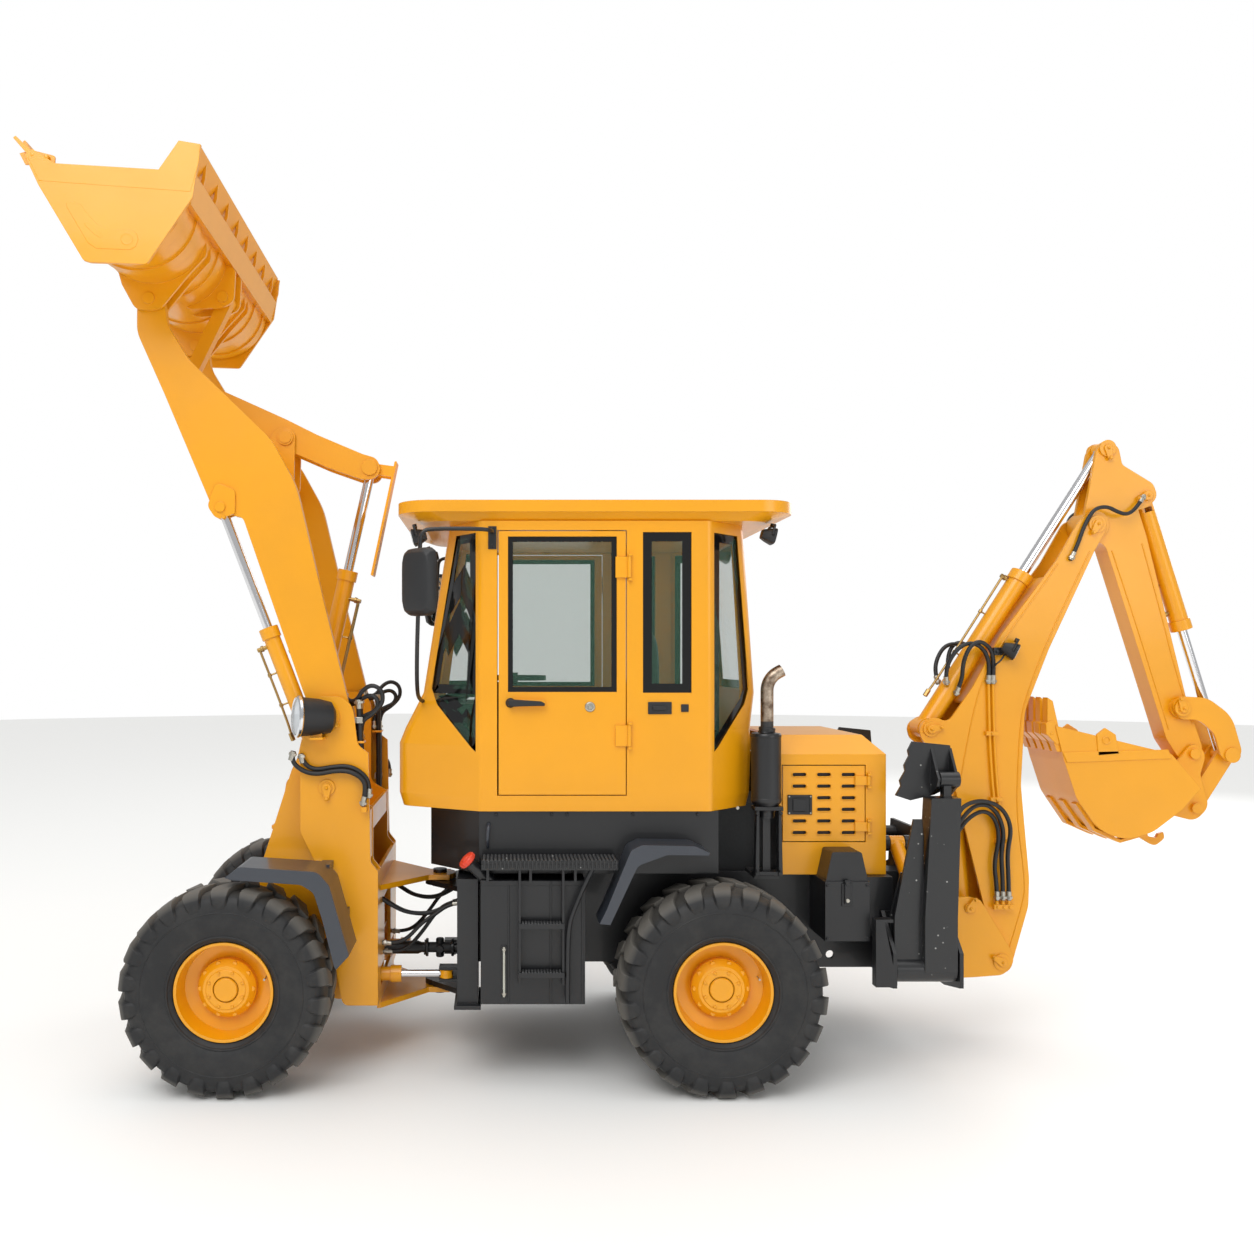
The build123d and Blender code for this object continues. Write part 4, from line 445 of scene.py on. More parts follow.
# %% Chipped enamel and browned steel
def chipped_enamel(name, code, chip_code, amount=0.30, chip_mm=9.0):
    """Gloss enamel with small chips down to a pale primer, drawn about twice their real size."""
    material, tree, place = new_material(name)
    cells = add(tree, "TexVoronoi", [("Vector", place)], Scale=1000 / (chip_mm * 5), Randomness=1.0)
    where = add(tree, "TexNoise", [("Vector", place)], Scale=5.0, Detail=4.0, Roughness=0.7)
    grain = add(tree, "TexNoise", [("Vector", place)], Scale=60.0, Detail=3.0)
    dots = add(tree, "MapRange", [("Value", cells.outputs["Distance"])], From_Min=0.05, From_Max=0.13,
        To_Min=1.0, To_Max=0.0)
    zone = add(tree, "MapRange", [("Value", where.outputs["Fac"])], From_Min=0.62 - amount * 0.4,
        From_Max=0.66 - amount * 0.4)
    chips = add(tree, "Math", [(0, dots.outputs["Result"]), (1, zone.outputs["Result"])],
        operation="MULTIPLY")
    mix = add(tree, "Mix", [("Factor", chips.outputs["Value"])], data_type="RGBA", A=linear(code),
        B=linear(chip_code))
    rough = add(tree, "MapRange", [("Value", grain.outputs["Fac"])], To_Min=0.22, To_Max=0.5)
    bump = add(tree, "Bump", [("Height", grain.outputs["Fac"])], Strength=0.25, Distance=0.001)
    soft = add(tree, "Bevel", [("Normal", bump.outputs["Normal"])], samples=4, Radius=0.005)
    links = [("Base Color", mix.outputs["Result"]), ("Roughness", rough.outputs["Result"]),
        ("Normal", soft.outputs["Normal"])]
    return finish_material(material, links, IOR=1.5, Coat_Weight=0.2, Coat_Roughness=0.15)


worn_black_enamel = chipped_enamel("worn_black_enamel", "#17181A", "#A7A7A4")
blue_grey_enamel = enamel("blue_grey_enamel", "#343942", roughness=0.34, fade=0.1, coat=0.3)


def browned_stack(name, split_low, split_high):
    """Black heat-proof paint up to a height, bare browned steel above it."""
    material, tree, place = new_material(name)
    height = add(tree, "SeparateXYZ", [("Vector", place)]).outputs["Z"]
    rust = add(tree, "TexNoise", [("Vector", place)], Scale=18.0, Detail=5.0, Roughness=0.65)
    steel = add(tree, "ValToRGB", [("Fac", rust.outputs["Fac"])])
    for stop, position, tone in zip(steel.color_ramp.elements, (0.35, 0.68), ("#5B4738", "#C9B9A6")):
        stop.position, stop.color = position, linear(tone)
    bare = add(tree, "MapRange", [("Value", height)], From_Min=split_low, From_Max=split_high)
    mix = add(tree, "Mix", [("Factor", bare.outputs["Result"]), ("B", steel.outputs["Color"])],
        data_type="RGBA", A=linear("#2A2A2B"))
    links = [("Base Color", mix.outputs["Result"]), ("Metallic", bare.outputs["Result"])]
    return finish_material(material, links, Roughness=0.42)


BARE_STACK = 0.3
stack_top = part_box("exhaust_stack")[1].z
stack_steel = browned_stack("stack_steel", stack_top - BARE_STACK - 0.005, stack_top - BARE_STACK)
ceramic_black = plastic("ceramic_black", "#0C0D0E", roughness=0.12, strength=0.02)
gauge_glass = sheet_glass("gauge_glass", "#C9C9BC", 0.8)
cap_red = plastic("cap_red_polymer", "#D8432A", roughness=0.35)
lamp_chrome = metal("lamp_chrome", "#D9DCE0", 0.16)
lamp_lens = sheet_glass("lamp_lens", "#E9EEF2", 0.55)
painted_tube = metal("yellow_zinc_tube", "#A98A55", 0.33)
print("special finishes ready; stack splits at", round(stack_top - BARE_STACK, 3))

# %% [markdown]
# ## Chromed rods with painted ends
# Only the sliding part of a cylinder rod is chromed. Its eye, and a guard welded to it, are sprayed with
# the machine. Both are one CAD piece, so the material decides: a point nearer to the rod's own line than
# the rod's radius is chrome, and anything further out is enamel.

# %% Rod material
def chromed_rod(name, base, tip, radius):
    """Hard chrome within a radius of the line from base to tip, and of its mirror image; enamel beyond."""
    material, tree, place = new_material(name)
    split = add(tree, "SeparateXYZ", [("Vector", place)])
    mirrored = add(tree, "Math", [(0, split.outputs["Y"])], operation="ABSOLUTE")
    folded = add(tree, "CombineXYZ", [("X", split.outputs["X"]), ("Y", mirrored.outputs[0]),
        ("Z", split.outputs["Z"])])
    away = add(tree, "VectorMath", [(0, folded.outputs[0])], operation="SUBTRACT")
    away.inputs[1].default_value = at(*base)
    reach = add(tree, "VectorMath", [(0, away.outputs[0])], operation="CROSS_PRODUCT")
    reach.inputs[1].default_value = (at(*tip) - at(*base)).normalized()
    gap = add(tree, "VectorMath", [(0, reach.outputs[0])], operation="LENGTH")
    painted = add(tree, "MapRange", [("Value", gap.outputs["Value"])], From_Min=(radius + 2.5) * MM,
        From_Max=(radius + 3.0) * MM)
    plated = add(tree, "MapRange", [("Value", painted.outputs["Result"])], To_Min=1.0, To_Max=0.0)
    rough = add(tree, "MapRange", [("Value", painted.outputs["Result"])], To_Min=0.12, To_Max=0.32)
    mix = add(tree, "Mix", [("Factor", painted.outputs["Result"])], data_type="RGBA", A=linear("#E4E4E6"),
        B=linear(YELLOW))
    links = [("Base Color", mix.outputs["Result"]), ("Metallic", plated.outputs["Result"]),
        ("Roughness", rough.outputs["Result"])]
    return finish_material(material, links)


# node: base, tip, rod radius
RODS = {
    "lift_rods": ((-935, 455, 1535), (-1520, 455, 3055), 25),
    "tilt_rod": ((-1175, 0, 1490), (-757, 0, 3341), 28),
    "boom_rod": ((2705, 0, 795), (2640, 0, 1680), 30),
    "dipper_rod": ((2490, 0, 1825), (3532, 0, 3455), 30),
    "bucket_rod": ((3765, 0, 3180), (4230, 0, 1674), 26),
}
for side in ("left", "right"):
    RODS[f"{side}_outrigger_rod"] = ((2257, 190, 1180), (2257, 665, 795), 22)
    RODS[f"{side}_steering_rod"] = ((-1040, 330, 470), (-300, 300, 470), 20)
rod_finish = {node: chromed_rod(f"{node}_chrome", *spec) for node, spec in RODS.items()}
print(len(rod_finish), "rods")

# %% [markdown]
# ## Tyres with a traction tread
# An earth-mover tyre is a smooth carcass with deep lugs vulcanised on: each lug runs from near the middle
# of the tread over the shoulder and fades into the sidewall, and the left and right rows are staggered.
# The carcass is a turned profile. One lug is a strip of sections that follow that profile, and is
# repeated round the wheel. The lug tops reach the radius that the CAD gives.

# %% Carcass and lugs
# (radius, distance from the middle plane), from the tread to the bead
HALF_CARCASS = [(512, 50), (509, 110), (502, 150), (488, 174), (462, 187), (425, 192), (380, 191), (330, 182),
                (288, 166), (262, 150), (255, 134)]
CARCASS = [(radius, -y) for radius, y in reversed(HALF_CARCASS)] + HALF_CARCASS
LUG_COUNT = 22
# across the wheel, base radius, top radius, share of the pitch, turn of the lug in pitches
LUG = ((6, 503, 534, 0.46, -0.34), (60, 503, 537, 0.58, -0.18), (110, 500, 536, 0.64, 0.0),
    (150, 488, 533, 0.68, 0.07), (176, 474, 522, 0.68, 0.09), (193, 452, 496, 0.62, 0.09),
    (197, 436, 464, 0.50, 0.09), (193, 426, 440, 0.40, 0.09))


def tyre_mesh():
    """A carcass with both rows of lugs and the raised rings of its sidewalls."""
    mesh = bmesh.new()
    turned(mesh, Vector((0, 0, 0)), (0, 1, 0), CARCASS, 96)
    pitch = 2 * pi / LUG_COUNT
    for row in (1, -1):
        for n in range(LUG_COUNT):
            sections = []
            for y, base, top, share, turn in LUG:
                middle = (n + turn + (0.5 if row < 0 else 0)) * pitch
                half = share * pitch / 2
                inset = half * 0.86
                # the outer sections stand off sideways instead of outwards
                out = row * (y + (2 if y > 190 else 0))
                foot = row * min(y, 186)
                corners = [(base, -half, foot), (top, -inset, out), (top, inset, out), (base, half, foot)]
                sections.append([mesh.verts.new(Vector((r * cos(middle + a), side, r * sin(middle + a))) * MM)
                                 for r, a, side in corners])
            skin(mesh, sections)
            mesh.faces.new(sections[0])
            mesh.faces.new(reversed(sections[-1]))
    # raised rings on the sidewalls: a rim guard, and a line where the mould halves meet
    for row in (1, -1):
        for radius, y, height, width in ((286, 165, 5, 9), (414, 190, 4, 5)):
            foot, crest = row * (y - 4), row * (y + height)
            ring = [(radius - width, foot), (radius - width / 2, crest), (radius + width / 2, crest),
                (radius + width, foot)]
            turned(mesh, Vector((0, 0, 0)), (0, 1, 0), ring, 96)
    return mesh


for wheel in WHEELS:
    obj = piece(f"{wheel}_tread_tyre", f"{wheel}_wheel", tyre_mesh(), tyre_rubber, sharp=38)
    obj.parent = None
    low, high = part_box(f"{wheel}_tyre")
    obj.location = (low + high) / 2
    edges = obj.modifiers.new("edges", "BEVEL")
    edges.width, edges.segments, edges.limit_method, edges.angle_limit = 0.005, 2, "ANGLE", radians(38)
    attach(obj, f"{wheel}_wheel")
    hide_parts(f"{wheel}_tyre")
print("tyres:", len(obj.data.vertices), "points each,", 2 * LUG_COUNT, "lugs")

# %% [markdown]
# ## Wheel nuts and hub
# The wheel is held by ten nuts on studs round the hub, and the hub's cover by eight small screws. They
# are the detail that gives a wheel its size, so they are real hexagons on washers.

# %% Nuts, cover and valve
for wheel in WHEELS:
    sign = -1 if wheel.endswith("left") else 1
    low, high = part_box(f"{wheel}_rim")
    middle = (low + high) / 2
    out = Vector((0, sign, 0))
    hub = middle + out * 92 * MM
    mesh = bmesh.new()
    turned(mesh, hub - out * MM, out, [(0, 12), (56, 12), (60, 8), (61, 1), (66, 1), (67, 5), (100, 5),
        (104, 1), (104, 0)], 64)
    for a in angles(8, 0.5):
        bolt(mesh, hub + Vector((cos(a), 0, sin(a))) * 92 * MM + out * 3 * MM, out, 13, 6)
    piece(f"{wheel}_hub_cover", f"{wheel}_wheel", mesh, yellow_enamel, bevel=1.0)
    mesh = bmesh.new()
    for a in angles(10):
        bolt(mesh, middle + Vector((cos(a), 0, sin(a))) * 134 * MM + out * 59 * MM, out, 24, 16)
    piece(f"{wheel}_wheel_nuts", f"{wheel}_wheel", mesh, yellow_enamel, bevel=1.2)
    mesh = bmesh.new()
    foot = middle + Vector((0.196, sign * 0.034, 0.05))
    bar(mesh, foot, foot + out * 44 * MM, 4.5)
    bar(mesh, foot + out * 44 * MM, foot + out * 56 * MM, 6, 10)
    piece(f"{wheel}_valve", f"{wheel}_wheel", mesh, zinc_plate)
print("wheels dressed")

# %% [markdown]
# ## Pins, keepers and grease points
# Every joint of the loader and backhoe turns on a greased pin. A keeper plate welded to the pin's head is
# bolted to the arm, so that the pin can't turn or creep out, and a nipple takes the grease gun. The CAD
# has the plain head, and here each gets its keeper, bolt and nipple.

# %% Keepers on every pin
def keeper(mesh, x, z, face, sign, toward, reach=58.0, head=24.0):
    """A drop-shaped plate on a pin head at |Y| = face, its tail bolted down at an angle in degrees."""
    a = radians(toward)
    tail = (x + reach * cos(a), z + reach * sin(a))
    outline = [(x + head * cos(a + radians(t)), z + head * sin(a + radians(t))) for t in range(75, 286, 15)]
    outline += [(tail[0] + 13 * cos(a + radians(t)), tail[1] + 13 * sin(a + radians(t)))
                for t in range(-80, 81, 20)]
    prism(mesh, outline, *span(sign, face, face + 8))
    out = (0, sign, 0)
    bolt(mesh, at(tail[0], sign * (face + 8), tail[1]), out, 17, 8)
    turned(mesh, at(x, sign * (face + 8), z), out, [(0, 12), (5, 11), (6, 6), (9, 5), (9, 0), (0, 0)], 16)


# body, x, z, |Y| of the head's face, angle of the keeper
PINS = (
    ("front_unit", -910, 1920, 537, -60), ("front_unit", -935, 1535, 537, -90),
    ("loader_arms", -1905, 4185, 483, 60), ("loader_arms", -1520, 3055, 483, -70),
    ("swing_post", 2890, 485, 144, 150), ("swing_post", 2705, 795, 144, 60),
    ("boom", 2490, 1825, 119, 10), ("boom", 3452, 3010, 119, -120),
    ("dipper", 3532, 3455, 77, -80), ("dipper", 3765, 3180, 79, 200), ("dipper", 3940, 1945, 127, 110),
)
heads = {}
for body, x, z, face, toward in PINS:
    mesh = heads.setdefault(body, bmesh.new())
    for sign in (1, -1):
        keeper(mesh, x, z, face, sign, toward)
for body, mesh in heads.items():
    piece(f"{body}_pin_keepers", body, mesh, yellow_enamel, bevel=1.5)
print("keepers on", len(PINS) * 2, "pin heads")

# %% [markdown]
# ## Loader plumbing
# Oil reaches each lift cylinder through a steel tube on its barrel and a pair of rubber hoses from the
# tower. More hoses loop from the tower towards the tilt cylinder, and thick feed hoses climb the tower's
# rear edge. The hoses ride on the front frame that they are clipped to, and each tube on its own barrel.

# %% Hoses and tubes of the loader
for name, sign in SIDES:
    hoses(f"{name}_lift_feed", "front_unit", flip(sign, [
        [(-1108, 566, 1735), (-1123, 566, 1684), (-1064, 566, 1629), (-986, 566, 1609), (-891, 566, 1629),
         (-813, 566, 1629), (-742, 566, 1594), (-716, 566, 1540), (-738, 566, 1440)],
        [(-1072, 549.02, 1720), (-1062, 549.02, 1672), (-1000, 549.02, 1630), (-894, 549.02, 1650),
         (-815, 549.02, 1653), (-748, 549.02, 1622), (-700, 549.02, 1562), (-706, 549.02, 1480)]]), radius=13)
    # loops from the tower's rear edge to the clip under the tilt cylinder
    hoses(f"{name}_tower_loops", "front_unit", flip(sign, [
        [(-858, 425, 2045), (-838, 430, 1996), (-781, 470, 2002), (-745, 500, 2063), (-690, 520, 2092),
         (-636, 525, 2060), (-632, 525, 1990), (-690, 520, 1930), (-741, 500, 1900), (-757, 470, 1850),
         (-757, 462, 1790)],
        [(-868, 405, 2040), (-846, 410, 1980), (-790, 445, 1982), (-742, 480, 2022), (-690, 505, 2035),
         (-655, 512, 2000), (-670, 512, 1950), (-720, 495, 1928), (-775, 462, 1900), (-790, 440, 1850),
         (-788, 430, 1790)],
    ]), radius=12)
mesh = bmesh.new()
for sign in (1, -1):
    box(mesh, (-800, -738), span(sign, 405, 505), (1772, 1784))
    box(mesh, (-745, -715), span(sign, 523, 575), (1405, 1435))
piece("hose_shelves", "front_unit", mesh, yellow_enamel, bevel=2)

# thick feed hoses that climb along the towers' rear edges, clear of the cab when the machine steers
hoses("tower_risers", "front_unit", [[(-770, y, 2010), (-762, y, 1900), (-760, y, 1700), (-760, y, 1500),
    (-762, y, 1320), (-770, y, 1200), (-790, y, 1115)] for y in (-482, -440, 440, 482)], radius=16)
mesh = bmesh.new()
for sign in (1, -1):
    for z in (1880, 1480):
        box(mesh, (-784, -776), span(sign, 415, 506), (z, z + 34))
        box(mesh, (-790, -744), span(sign, 500, 506), (z, z + 34))
piece("riser_clips", "front_unit", mesh, zinc_plate, bevel=2)

# %% Steel tubes on the lift barrels
def barrel_tubes(name, body, base, tip, y, side, start, end, gap):
    """A steel oil tube that runs beside a barrel, from a banjo at the gland to the barrel's foot."""
    dx, dz = tip[0] - base[0], tip[1] - base[1]
    length = (dx * dx + dz * dz) ** 0.5
    ux, uz = dx / length, dz / length
    nx, nz = -uz * side, ux * side

    def along(d, off):
        """The drawing point at a distance along the cylinder and off its line."""
        return (base[0] + ux * d + nx * off, y, base[1] + uz * d + nz * off)

    stations = ((end, gap * 0.6), (end, gap + 34), (end - 12, gap + 40), (end - 40, gap + 40),
        ((start + end) / 2, gap + 38), (start + 60, gap + 40), (start, gap + 46), (start - 30, gap + 46))
    tube_run(name, body, [[along(d, off) for d, off in stations]], 7.0, painted_tube)
    mesh = bmesh.new()
    bar(mesh, at(*along(end, gap - 6)), at(*along(end, gap + 52)), 13, 6)
    bar(mesh, at(*along(end, gap + 18)), at(*along(end, gap + 30)), 17, 20)
    bar(mesh, at(*along(start - 28, gap + 46)), at(*along(start + 16, gap + 46)), 14, 6)
    for share in (0.35, 0.7):
        d = start + (end - start) * share
        bar(mesh, at(*along(d, gap - 4)), at(*along(d, gap + 44)), 5, 8)
        bar(mesh, at(*along(d - 9, gap + 39)), at(*along(d + 9, gap + 39)), 11, 12)
    piece(f"{name}_fittings", body, mesh, painted_tube, bevel=1)


for name, sign in SIDES:
    barrel_tubes(f"{name}_lift_tube", "lift_barrels", (-935, 1535), (-1520, 3055), sign * 455, 1, 330, 830,
        gap=46)
    barrel_tubes(f"{name}_tilt_tube", "tilt_barrel", (-1175, 1490), (-757, 3341), sign * 22, -1, 380, 1130,
        gap=58)
print("loader plumbing done")

# %% [markdown]
# ## Plumbing across the centre hinge
# Steering and pump hoses cross the hinge.

# %% Hinge hoses and the drive shaft
# x, share of the hose's own Y, z
HIGH_ROUTE = ((-690, 1, 905), (-610, 1, 850), (-520, 0.9, 800), (-400, 0.82, 790), (-310, 0.85, 830),
    (-240, 0.9, 872), (-216, 0.9, 880))
crossing = []
for i, y in enumerate((-300, -262, -225, 230, 268, 305)):
    drop = 8 * i % 22
    crossing.append([(x, y * share, z - drop) for x, share, z in HIGH_ROUTE])
hoses("hinge_hoses_high", "front_unit", crossing, radius=12, fitting=False, other="rear_unit")
crossing = []
for y, z in ((-240, 575), (-300, 640), (245, 575)):
    crossing.append([(-660, y, z), (-600, y, z - 5), (-520, y, z + 20), (-440, y, z + 110),
        (-360, y * 0.98, 800), (-290, y * 0.95, 850), (-216, y * 0.95, 862)])
hoses("hinge_hoses_low", "front_unit", crossing, radius=11, other="rear_unit")

SHAFT_Z = 537


def shaft(name, body, x0, x1):
    """A tubular propeller shaft with a bolted flange at each end."""
    mesh = bmesh.new()
    long = x1 - x0
    turned(mesh, at(x0, 0, SHAFT_Z), (1, 0, 0), [(0, 0), (52, 0), (52, 14), (30, 18), (30, 40), (38, 60),
        (38, long - 60), (30, long - 40), (30, long - 18), (52, long - 14), (52, long), (0, long)])
    for a in angles(4, 0.5):
        for x, out in ((x0 + 14, 1), (x1 - 14, -1)):
            bolt(mesh, at(x, 42 * cos(a), SHAFT_Z + 42 * sin(a)), (out, 0, 0), 14, 8, washer=1.1)
    piece(name, body, mesh, black_enamel, bevel=2)


shaft("front_drive_shaft", "front_unit", -1170, -420)
shaft("rear_drive_shaft", "rear_unit", -285, 900)
mesh = bmesh.new()
turned(mesh, at(HINGE_X, 0, 482), (0, 0, 1), [(0, 0), (20, 0), (24, 6), (24, 104), (20, 110), (0, 110)], 24)
cross = at(HINGE_X, 0, SHAFT_Z)
bar(mesh, at(HINGE_X, -52, SHAFT_Z), at(HINGE_X, 52, SHAFT_Z), 22, 24)
bar(mesh, at(-420, 0, SHAFT_Z), cross, 30, 24)
bar(mesh, cross, at(-285, 0, SHAFT_Z), 30, 24)
piece("shaft_cross", "rear_unit", mesh, cast_iron, bevel=2)
print("centre hinge plumbed")

# %% [markdown]
# ## Backhoe plumbing
# Hoses arch from the valve bank behind the outriggers to a manifold at the boom's foot, and turn with the
# swing post. Steel tubes run on along the boom, and further hoses cross the joints beyond it.

# %% Backhoe hoses
FEEDS = (
    [(2540, -236, 1240), (2592, -240, 1360), (2650, -232, 1412), (2751, -215, 1428), (2866, -190, 1384),
     (2931, -170, 1266), (2912, -150, 1122), (2925, -140, 960), (2928, -136, 842)],
    [(2545, -205, 1200), (2612, -210, 1300), (2692, -200, 1392), (2779, -190, 1402), (2851, -172, 1345),
     (2894, -155, 1233), (2880, -142, 1117), (2892, -138, 960), (2894, -136, 842)],
    [(2550, -170, 1150), (2617, -180, 1240), (2676, -176, 1320), (2763, -170, 1366), (2836, -158, 1326),
     (2872, -146, 1213), (2840, -140, 1053), (2858, -137, 930), (2860, -136, 842)])
for i, route in enumerate(FEEDS):
    hoses(f"boom_feed_{i}", "swing_post", [route], radius=12)
mesh = bmesh.new()
box(mesh, (2838, 2952), (-150, -124), (788, 818))
for x in (2860, 2894, 2928):
    turned(mesh, at(x, -136, 818), (0, 0, 1), [(0, 0), (11, 0), (11, 10), (8, 12), (8, 24), (0, 24)], 16)
    bar(mesh, at(x, -150, 803), at(x, -158, 803), 9, 6)
piece("boom_manifold", "swing_post", mesh, yellow_enamel, bevel=2)

# %% Hoses and tubes along the boom and the dipper
BOOM_TUBE = ((2818, 2090), (2822, 1900), (2828, 1690), (2846, 1450), (2870, 1250), (2885, 1120))
for name, sign in SIDES:
    hoses(f"boom_arcs_{name}", "dipper_barrel", flip(sign, [
        [(2600, 60, 2080), (2588, 78, 2140), (2599, 96, 2220), (2655, 119, 2306), (2727, 119, 2326),
         (2790, 119, 2290), (2822, 119, 2215), (2820, 119, 2140), (2818, 119, 2085)],
        [(2650, 64, 2018), (2682, 86, 2110), (2672, 112, 2200), (2700, 135, 2300), (2759, 137, 2338),
         (2830, 129, 2290), (2848, 119, 2215), (2846, 119, 2140), (2844, 119, 2085)]]), radius=12,
        other="boom")
    tube_run(f"boom_tubes_{name}", "boom", flip(sign, [
        [(x + step, 119, z) for x, z in BOOM_TUBE] for step in (0, 26)]), 8, yellow_enamel)
    # a hose from the boom's head over its tip to the bucket cylinder on the dipper
    hoses(f"tip_hose_{name}", "boom", flip(sign, [[(3290, 119, 2800), (3330, 119, 2880), (3356, 119, 2960),
        (3392, 119, 3040), (3430, 125, 3098), (3500, 125, 3110), (3560, 119, 3080), (3620, 119, 3060),
        (3690, 100, 3110), (3735, 86, 3180)]]), radius=11, other="dipper")
mesh = bmesh.new()
for sign in (1, -1):
    for x, z in ((2836, 1800), (2862, 1420), (2890, 1180)):
        box(mesh, (x - 34, x + 34), span(sign, 105, 131), (z - 12, z + 12))
        bolt(mesh, at(x, sign * 131, z), (0, sign, 0), 13, 7)
piece("boom_tube_clamps", "boom", mesh, yellow_enamel, bevel=1.5)

# steel tubes on the barrels of the backhoe's cylinders
barrel_tubes("dipper_oil_tube", "dipper_barrel", (2490, 1825), (3532, 3455), 0, 1, 190, 1000, gap=50)
barrel_tubes("bucket_oil_tube", "bucket_barrel", (3765, 3180), (4230, 1674), 0, -1, 120, 700, gap=44)
print("backhoe plumbing done")

# %% [markdown]
# ## Weld beads
# Plate work of this kind is held by fillet welds, and where two plates meet the light catches a thin
# rippled ridge. A slim tube laid along each seam, half sunk into the plates, gives that ridge.

# %% Seams along boom and dipper
def both_sides(route, y):
    """An (x, z) route at a distance either side of the middle plane."""
    return [[(x, sign * y, z) for x, z in route] for sign in (1, -1)]


# (x, z) along each edge that carries a bead
BOOM_BACK = [(2945, 560), (3032, 830), (3036, 960), (2992, 1300), (2990, 1500), (3010, 1900), (3060, 2060),
    (3150, 2300), (3290, 2600), (3410, 2850)]
BOOM_FRONT = [(2660, 1500), (2700, 1760), (2790, 2130), (2920, 2350), (3100, 2600), (3225, 2780)]
DIPPER_FRONT = [(3560, 2860), (3660, 2560), (3800, 2120), (3890, 1820)]
DIPPER_BACK = [(3735, 2900), (3830, 2560), (3940, 2120), (4030, 1850)]
for body, y, edges in (("boom", 105.5, (BOOM_BACK, BOOM_FRONT)),
        ("dipper", 65.5, (DIPPER_FRONT, DIPPER_BACK))):
    beads = [bead for edge in edges for bead in both_sides(edge, y)]
    tube_run(f"{body}_seams", body, beads, 4.0, yellow_enamel, round_steps=2)
print("seams laid")

# %% [markdown]
# ## Panes with a black edge
# Cab glass is bonded in with black polyurethane, and a black ceramic band fired round the edge of each
# pane hides the glue. Here the band is made from the pane itself: its outer faces are copied, merged into
# one panel, inset by the width of the band, and only the rim between is kept, a millimetre proud.

# %% Ceramic bands
def edge_band(node, width, body, proud=1.2):
    """A band of black ceramic round every outer face of a pane node."""
    low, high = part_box("cab_shell" if node == "cab_glass" else node)
    middle = (low + high) / 2
    mesh = bmesh.new()
    mesh.from_mesh(frame["nodes"][node].data)
    bmesh.ops.remove_doubles(mesh, verts=mesh.verts, dist=1e-5)
    mesh.normal_update()
    inner = [f for f in mesh.faces
             if f.normal.dot(f.calc_center_median() - middle) <= 0.0 or abs(f.normal.z) > 0.8]
    bmesh.ops.delete(mesh, geom=inner, context="FACES")
    bmesh.ops.dissolve_limit(mesh, angle_limit=radians(4), verts=mesh.verts, edges=mesh.edges)
    slim = [f for f in mesh.faces if f.calc_area() < 0.012]
    bmesh.ops.delete(mesh, geom=slim, context="FACES")
    mesh.normal_update()
    panels = list(mesh.faces)
    bmesh.ops.inset_individual(mesh, faces=panels, thickness=width * MM, use_even_offset=True)
    bmesh.ops.delete(mesh, geom=panels, context="FACES_ONLY")
    for vert in mesh.verts:
        vert.co += vert.normal * proud * MM
    count = len(mesh.faces)
    piece(f"{node}_band", body, mesh, ceramic_black)
    return count


print("band faces:", edge_band("cab_glass", 48, "rear_unit"))
for name in ("left", "right"):
    print(name, edge_band(f"{name}_door_glass", 26, f"{name}_door"))

# %% [markdown]
# ## Door furniture, lamps and mirror
# The handle is a die-cast lever on a round rose, with a key lock beside it. Work lamps hang under the roof
# at each corner, and a headlamp in a chromed bowl stands on each loader tower. The mirror hangs on a tube
# that also serves as a handrail.

# %% Handles, locks and latches
for name, sign in SIDES:
    out = Vector((0, sign, 0))
    mesh = bmesh.new()
    turned(mesh, at(55, sign * 705, 1999), out, [(0, 0), (26, 0), (26, 8), (20, 14), (14, 30), (0, 30)], 32)
    outline = [(45, 2016), (75, 2018), (215, 2008), (236, 1996), (232, 1984), (200, 1984), (120, 1982),
        (70, 1980), (45, 1984)]
    prism(mesh, outline, *span(sign, 729, 747))
    piece(f"{name}_door_handle", f"{name}_door", mesh, abs_plastic, bevel=5)
    mesh = bmesh.new()
    turned(mesh, at(472, sign * 705, 1978), out, [(0, 0), (27, 0), (27, 4), (23, 8), (17, 9), (15, 4), (9, 4),
        (8, 12), (0, 12)], 32)
    piece(f"{name}_door_lock", f"{name}_door", mesh, zinc_plate, bevel=0.8)
    mesh = bmesh.new()
    for x, width, half in ((838, 62, 32), (969, 20, 20)):
        box(mesh, (x - width, x + width), span(sign, 705, 712), (1972 - half, 1972 + half))
    prism(mesh, [(800, 1960), (868, 1960), (876, 1972), (868, 1984), (800, 1984)], *span(sign, 712, 720))
    piece(f"{name}_rear_latch", "rear_unit", mesh, abs_plastic, bevel=3)

